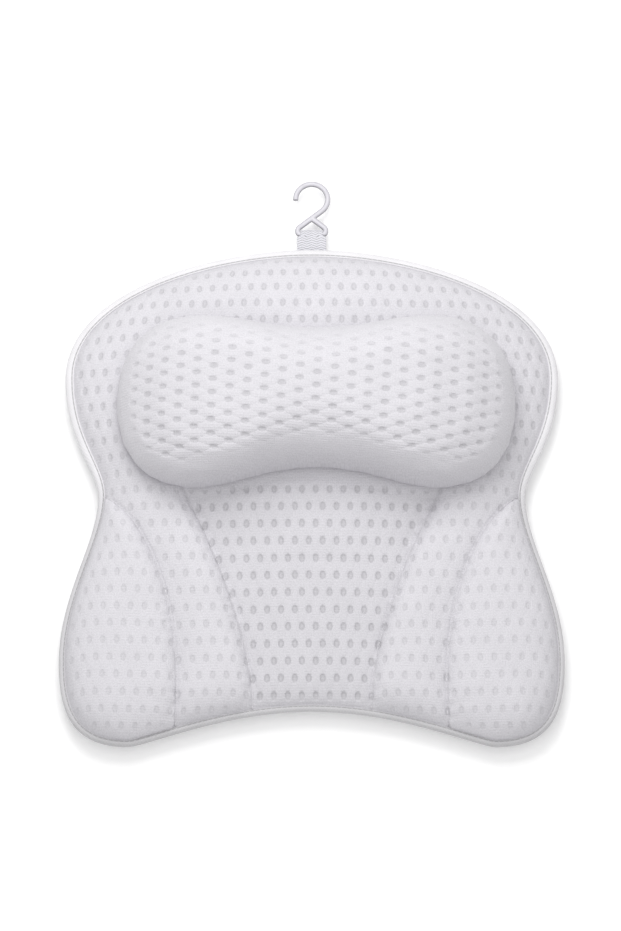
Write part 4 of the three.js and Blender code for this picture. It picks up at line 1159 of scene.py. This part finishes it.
route = strap_route()
route_length = length_of(route)
along = int(route_length / STEP_ALONG)
bm = bmesh.new()
grid = bmesh.ops.create_grid(bm, x_segments=ACROSS, y_segments=along, size=0.5)["verts"]
share = np.array([v.co[:2] for v in grid]) + 0.5
spots = spaced(route, share[:, 1])
gather = smooth_step(GATHER_START, GATHER_END, spots[:, 0])
widths = STRAP_WIDTH + (GATHERED_WIDTH - STRAP_WIDTH) * gather
for vert, u, (y, z), width in zip(grid, share[:, 0], spots, widths):
    vert.co = ((u - 0.5) * width, y, z)
bmesh.ops.recalc_face_normals(bm, faces=bm.faces)
strap = to_piece("webbing_loop", bm, webbing_cloth)
print("webbing strip in mm:", round(route_length / MM, 1), "by", STRAP_WIDTH / MM)

# %% Ribs of the webbing
RIB_PITCH, RIB_HEIGHT, CHEVRON, CHEVRON_LEAN = 2.0 * MM, 0.3 * MM, 8 * MM, 1.6 * MM
strap_uv = np.stack([(share[:, 0] - 0.5) * STRAP_WIDTH, share[:, 1] * route_length], 1)
zigzag = np.abs(((strap_uv[:, 0] / CHEVRON) % 1) * 2 - 1) * CHEVRON_LEAN
rib = np.cos(2 * np.pi * (strap_uv[:, 1] + zigzag) / RIB_PITCH)
normals = normals_of(strap.data)
fold_side = normals[np.argmax(points_of(strap.data)[:, 1]), 1]
outwards = normals * math.copysign(1, fold_side)
move_points(strap.data, points_of(strap.data) + outwards * (RIB_HEIGHT * rib)[:, None])
# The rib values also grey the cloth between the ribs, as painted shade.
store_values(strap.data, "rib", rib)
store_uv(strap.data, "strap", strap_uv)
thick = strap.modifiers.new("thickness", "SOLIDIFY")
thick.thickness = STRAP_THICKNESS - 2 * RIB_HEIGHT
thick.offset = 0
apply_modifiers(strap)
strap.data.shade_smooth()
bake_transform(strap)
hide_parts("loop_tail", "hanging_loop")
print("webbing faces:", len(strap.data.polygons))

# %% [markdown]
# ## Hanger hook
# A moulded hook: an open ring, a shank that runs on as one side of the eye, a bar and the eye's other side.
# The route is drawn as one thick curve with a squarish, well rounded section. Remeshing it melts the crossing
# at the top of the eye into one moulding, as in the real part.

# %% Hook route
EYE_HALF, EYE_SHOULDER, EYE_APEX, EYE_CORNER = 11.7, 4.8, 14.0, 2.4
RING_RADIUS, RING_TIP = 13.4, math.radians(184)
shank_angle = math.atan2(EYE_APEX - EYE_SHOULDER, EYE_HALF)
leave = np.array([math.sin(shank_angle), -math.cos(shank_angle)]) * RING_RADIUS
ring_centre = np.array([0, EYE_APEX + leave[0] * math.tan(shank_angle) - leave[1]])


def arc(centre, radius, start, end, steps):
    angles = np.linspace(start, end, steps)
    return [tuple(np.array(centre) + radius * np.array([math.cos(a), math.sin(a)])) for a in angles]


inside = EYE_HALF - EYE_CORNER
hook_route = (
    arc(ring_centre, RING_RADIUS, RING_TIP, math.atan2(leave[1], leave[0]), 48)
    + [(0, EYE_APEX), (-EYE_HALF + 0.9, EYE_SHOULDER + 0.8), (-EYE_HALF, EYE_SHOULDER - 0.8)]
    + arc((-inside, EYE_CORNER), EYE_CORNER, math.pi, 1.5 * math.pi, 7)
    + arc((inside, EYE_CORNER), EYE_CORNER, 1.5 * math.pi, 2 * math.pi, 7)
    + [(EYE_HALF, EYE_SHOULDER - 0.8), (EYE_HALF - 0.9, EYE_SHOULDER + 0.8), (0.6, EYE_APEX - 0.4)])
print("hook route points:", len(hook_route))

# %% Moulded hook
HOOK_HALF, SQUARENESS = BAR_RADIUS + 0.25 * MM, 2.8


def drawn_curve(name, places, closed):
    """A curve object of straight steps through the given places."""
    line = bpy.data.curves.new(name, "CURVE")
    line.dimensions = "2D" if closed else "3D"
    spline = line.splines.new("POLY")
    spline.points.add(len(places) - 1)
    for point, place in zip(spline.points, places):
        point.co = (*place, 1)
    spline.use_cyclic_u = closed
    return add_object(name, line)


def squarish(angle):
    """A place on the hook's section, which is a square with well rounded corners."""
    reach = (abs(math.cos(angle)) ** SQUARENESS + abs(math.sin(angle)) ** SQUARENESS) ** (-1 / SQUARENESS)
    return (HOOK_HALF * reach * math.cos(angle), HOOK_HALF * reach * math.sin(angle), 0)


section = drawn_curve("hook_section", [squarish(a) for a in np.linspace(0, 2 * math.pi, 33)[:-1]], True)
wire = drawn_curve("hook_wire", [(x * MM, y * MM + BAR.y, BAR.z) for x, y in hook_route], False)
wire.data.bevel_mode = "OBJECT"
wire.data.bevel_object = section
wire.data.twist_mode = "Z_UP"
wire.data.use_fill_caps = True
bm = bmesh.new()
bm.from_mesh(wire.evaluated_get(bpy.context.evaluated_depsgraph_get()).to_mesh())
for helper in (wire, section):
    bpy.data.objects.remove(helper)
bmesh.ops.recalc_face_normals(bm, faces=bm.faces)
hook = to_piece("hook", bm, hook_white)
melt(hook, quad=0.42 * MM, passes=3)
# Painted shade: points whose normals lie near level are marked as side walls, to be greyed.
store_values(hook.data, "wall", 1 - smooth_step(0.3, 0.85, np.abs(normals_of(hook.data)[:, 2])))
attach(hook, "hook")
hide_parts("hanger_hook")
print("hook faces:", len(hook.data.polygons))

# %% [markdown]
# ## Patches and suction cups
# None of these shows in the photograph. A cup is a shallow dome with a mushroom head that buttons into a
# round patch. Both are turned shapes, so a profile is spun once round each cup's axis.

# %% Turned pieces
CUP_STEPS = 48
PATCH_SEAM, PATCH_SEAM_HEIGHT = 16.2 * MM, 13.25 * MM
CUP_PROFILE = [
    (0, 5.2), (6, 4.85), (12, 3.75), (17, 2.3), (20.5, 0.95), (22.5, 0.02), (23.75, 0.0), (24.8, 0.05),
    (25, 0.3), (24.7, 0.62), (22.5, 1.6), (19.5, 3.6), (15.5, 5.8), (11, 7.4), (7, 8.2), (5, 8.7),
    (4.2, 9.5), (4.2, 12.2), (5.5, 12.65), (8.4, 12.75), (9.0, 13.2), (8.8, 14.0), (7.2, 14.55), (0, 14.65),
]
PATCH_PROFILE = [
    (4.6, 11.15), (9, 11.1), (9.8, 11.2), (12.2, 12.9), (13.2, 13.25), (18.4, 13.3), (19, 13.6), (19, 14.2),
    (18.4, 14.6), (13.2, 14.6), (12.0, 14.1), (9.6, 12.4), (8.8, 12.25), (4.6, 12.25), (4.45, 11.7),
]


def spun(profile, centre, closed):
    """Spins a profile of radii and heights, in millimetres, once round an upright axis."""
    bm = bmesh.new()
    verts = [bm.verts.new((centre[0] + r * MM, centre[1], z * MM)) for r, z in profile]
    pairs = list(zip(verts, verts[1:])) + ([(verts[-1], verts[0])] if closed else [])
    edges = [bm.edges.new(pair) for pair in pairs]
    bmesh.ops.spin(bm, geom=verts + edges, cent=(*centre, 0), axis=(0, 0, 1), angle=2 * math.pi,
                   steps=CUP_STEPS, use_merge=True)
    bmesh.ops.remove_doubles(bm, verts=bm.verts, dist=0.005 * MM)
    bmesh.ops.recalc_face_normals(bm, faces=bm.faces)
    return bm


for name, centre in CUPS.items():
    cup = to_piece(f"cup_{name}", spun(CUP_PROFILE, centre, False), cup_clear)
    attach(cup, f"cup_{name}")
    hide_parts(f"suction_cup_{name}")
    bm = spun(PATCH_PROFILE, centre, True)
    ring = np.array(arc(centre, PATCH_SEAM, 0, 2 * math.pi, 90))
    add_stitches(bm, ring, PATCH_SEAM_HEIGHT)
    patch = to_piece(f"patch_{name}", bm, patch_cloth)
    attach(patch, "pad")
    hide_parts(f"cup_patch_{name}")
print("cups and patches:", len(CUPS))

# %% [markdown]
# ## Floor and light
# The photograph has a plain white ground and broad soft light. A large light overhead, towards the pillow's
# feet, shades the roll from white to grey without throwing much shadow on the pad. A weaker one beyond the top
# edge, slightly left, brightens the yoke, and an even sky fills in. The floor is very pale and glows faintly,
# so it burns out to white except close to the pillow.

# %% Floor
FLOOR_GLOW = 0.13
floor_white, tree, surface = new_material("floor_white")
place = add_node(tree, "ShaderNodeTexCoord").outputs["Object"]
dust = noise(tree, place, 3)
tree.links.new(mix_colour(tree, dust, (0.93, 0.93, 0.93, 1), (0.95, 0.95, 0.95, 1)), surface["Base Color"])
set_inputs(surface, {"Roughness": 0.9, "Specular IOR Level": 0.1})
set_inputs(surface, {"Emission Color": (1, 1, 1, 1), "Emission Strength": FLOOR_GLOW})
bm = bmesh.new()
bmesh.ops.create_grid(bm, x_segments=4, y_segments=4, size=6)
floor = to_piece("floor", bm, floor_white)
print("floor is", round(floor.dimensions.x, 1), "m wide")

# %% Light
def area_light(name, place, size, power):
    light = bpy.data.lights.new(name, "AREA")
    light.size, light.energy = size, power
    lamp = add_object(name, light)
    lamp.location = place
    lamp.rotation_euler = (AIM - Vector(place)).to_track_quat("-Z", "Y").to_euler()
    return lamp


world = bpy.data.worlds.new("studio")
bpy.context.scene.world = world
world.use_nodes = True
set_inputs(world.node_tree.nodes["Background"].inputs, {"Color": (1, 1, 1, 1), "Strength": 0.42})
key = area_light("key", (0, -0.7, 2.2), size=2.4, power=24)
area_light("rear", (-0.1, 0.5, 1.02), size=0.7, power=7.8)
bpy.context.scene.view_settings.view_transform = "Standard"
print("key light at", [round(c, 2) for c in key.location])

# %% [markdown]
# ## Finish
# The view layer is brought up to date at the end. The dressed model has to stay close to the CAD model's
# box.

# %% Finish
bpy.context.view_layer.update()
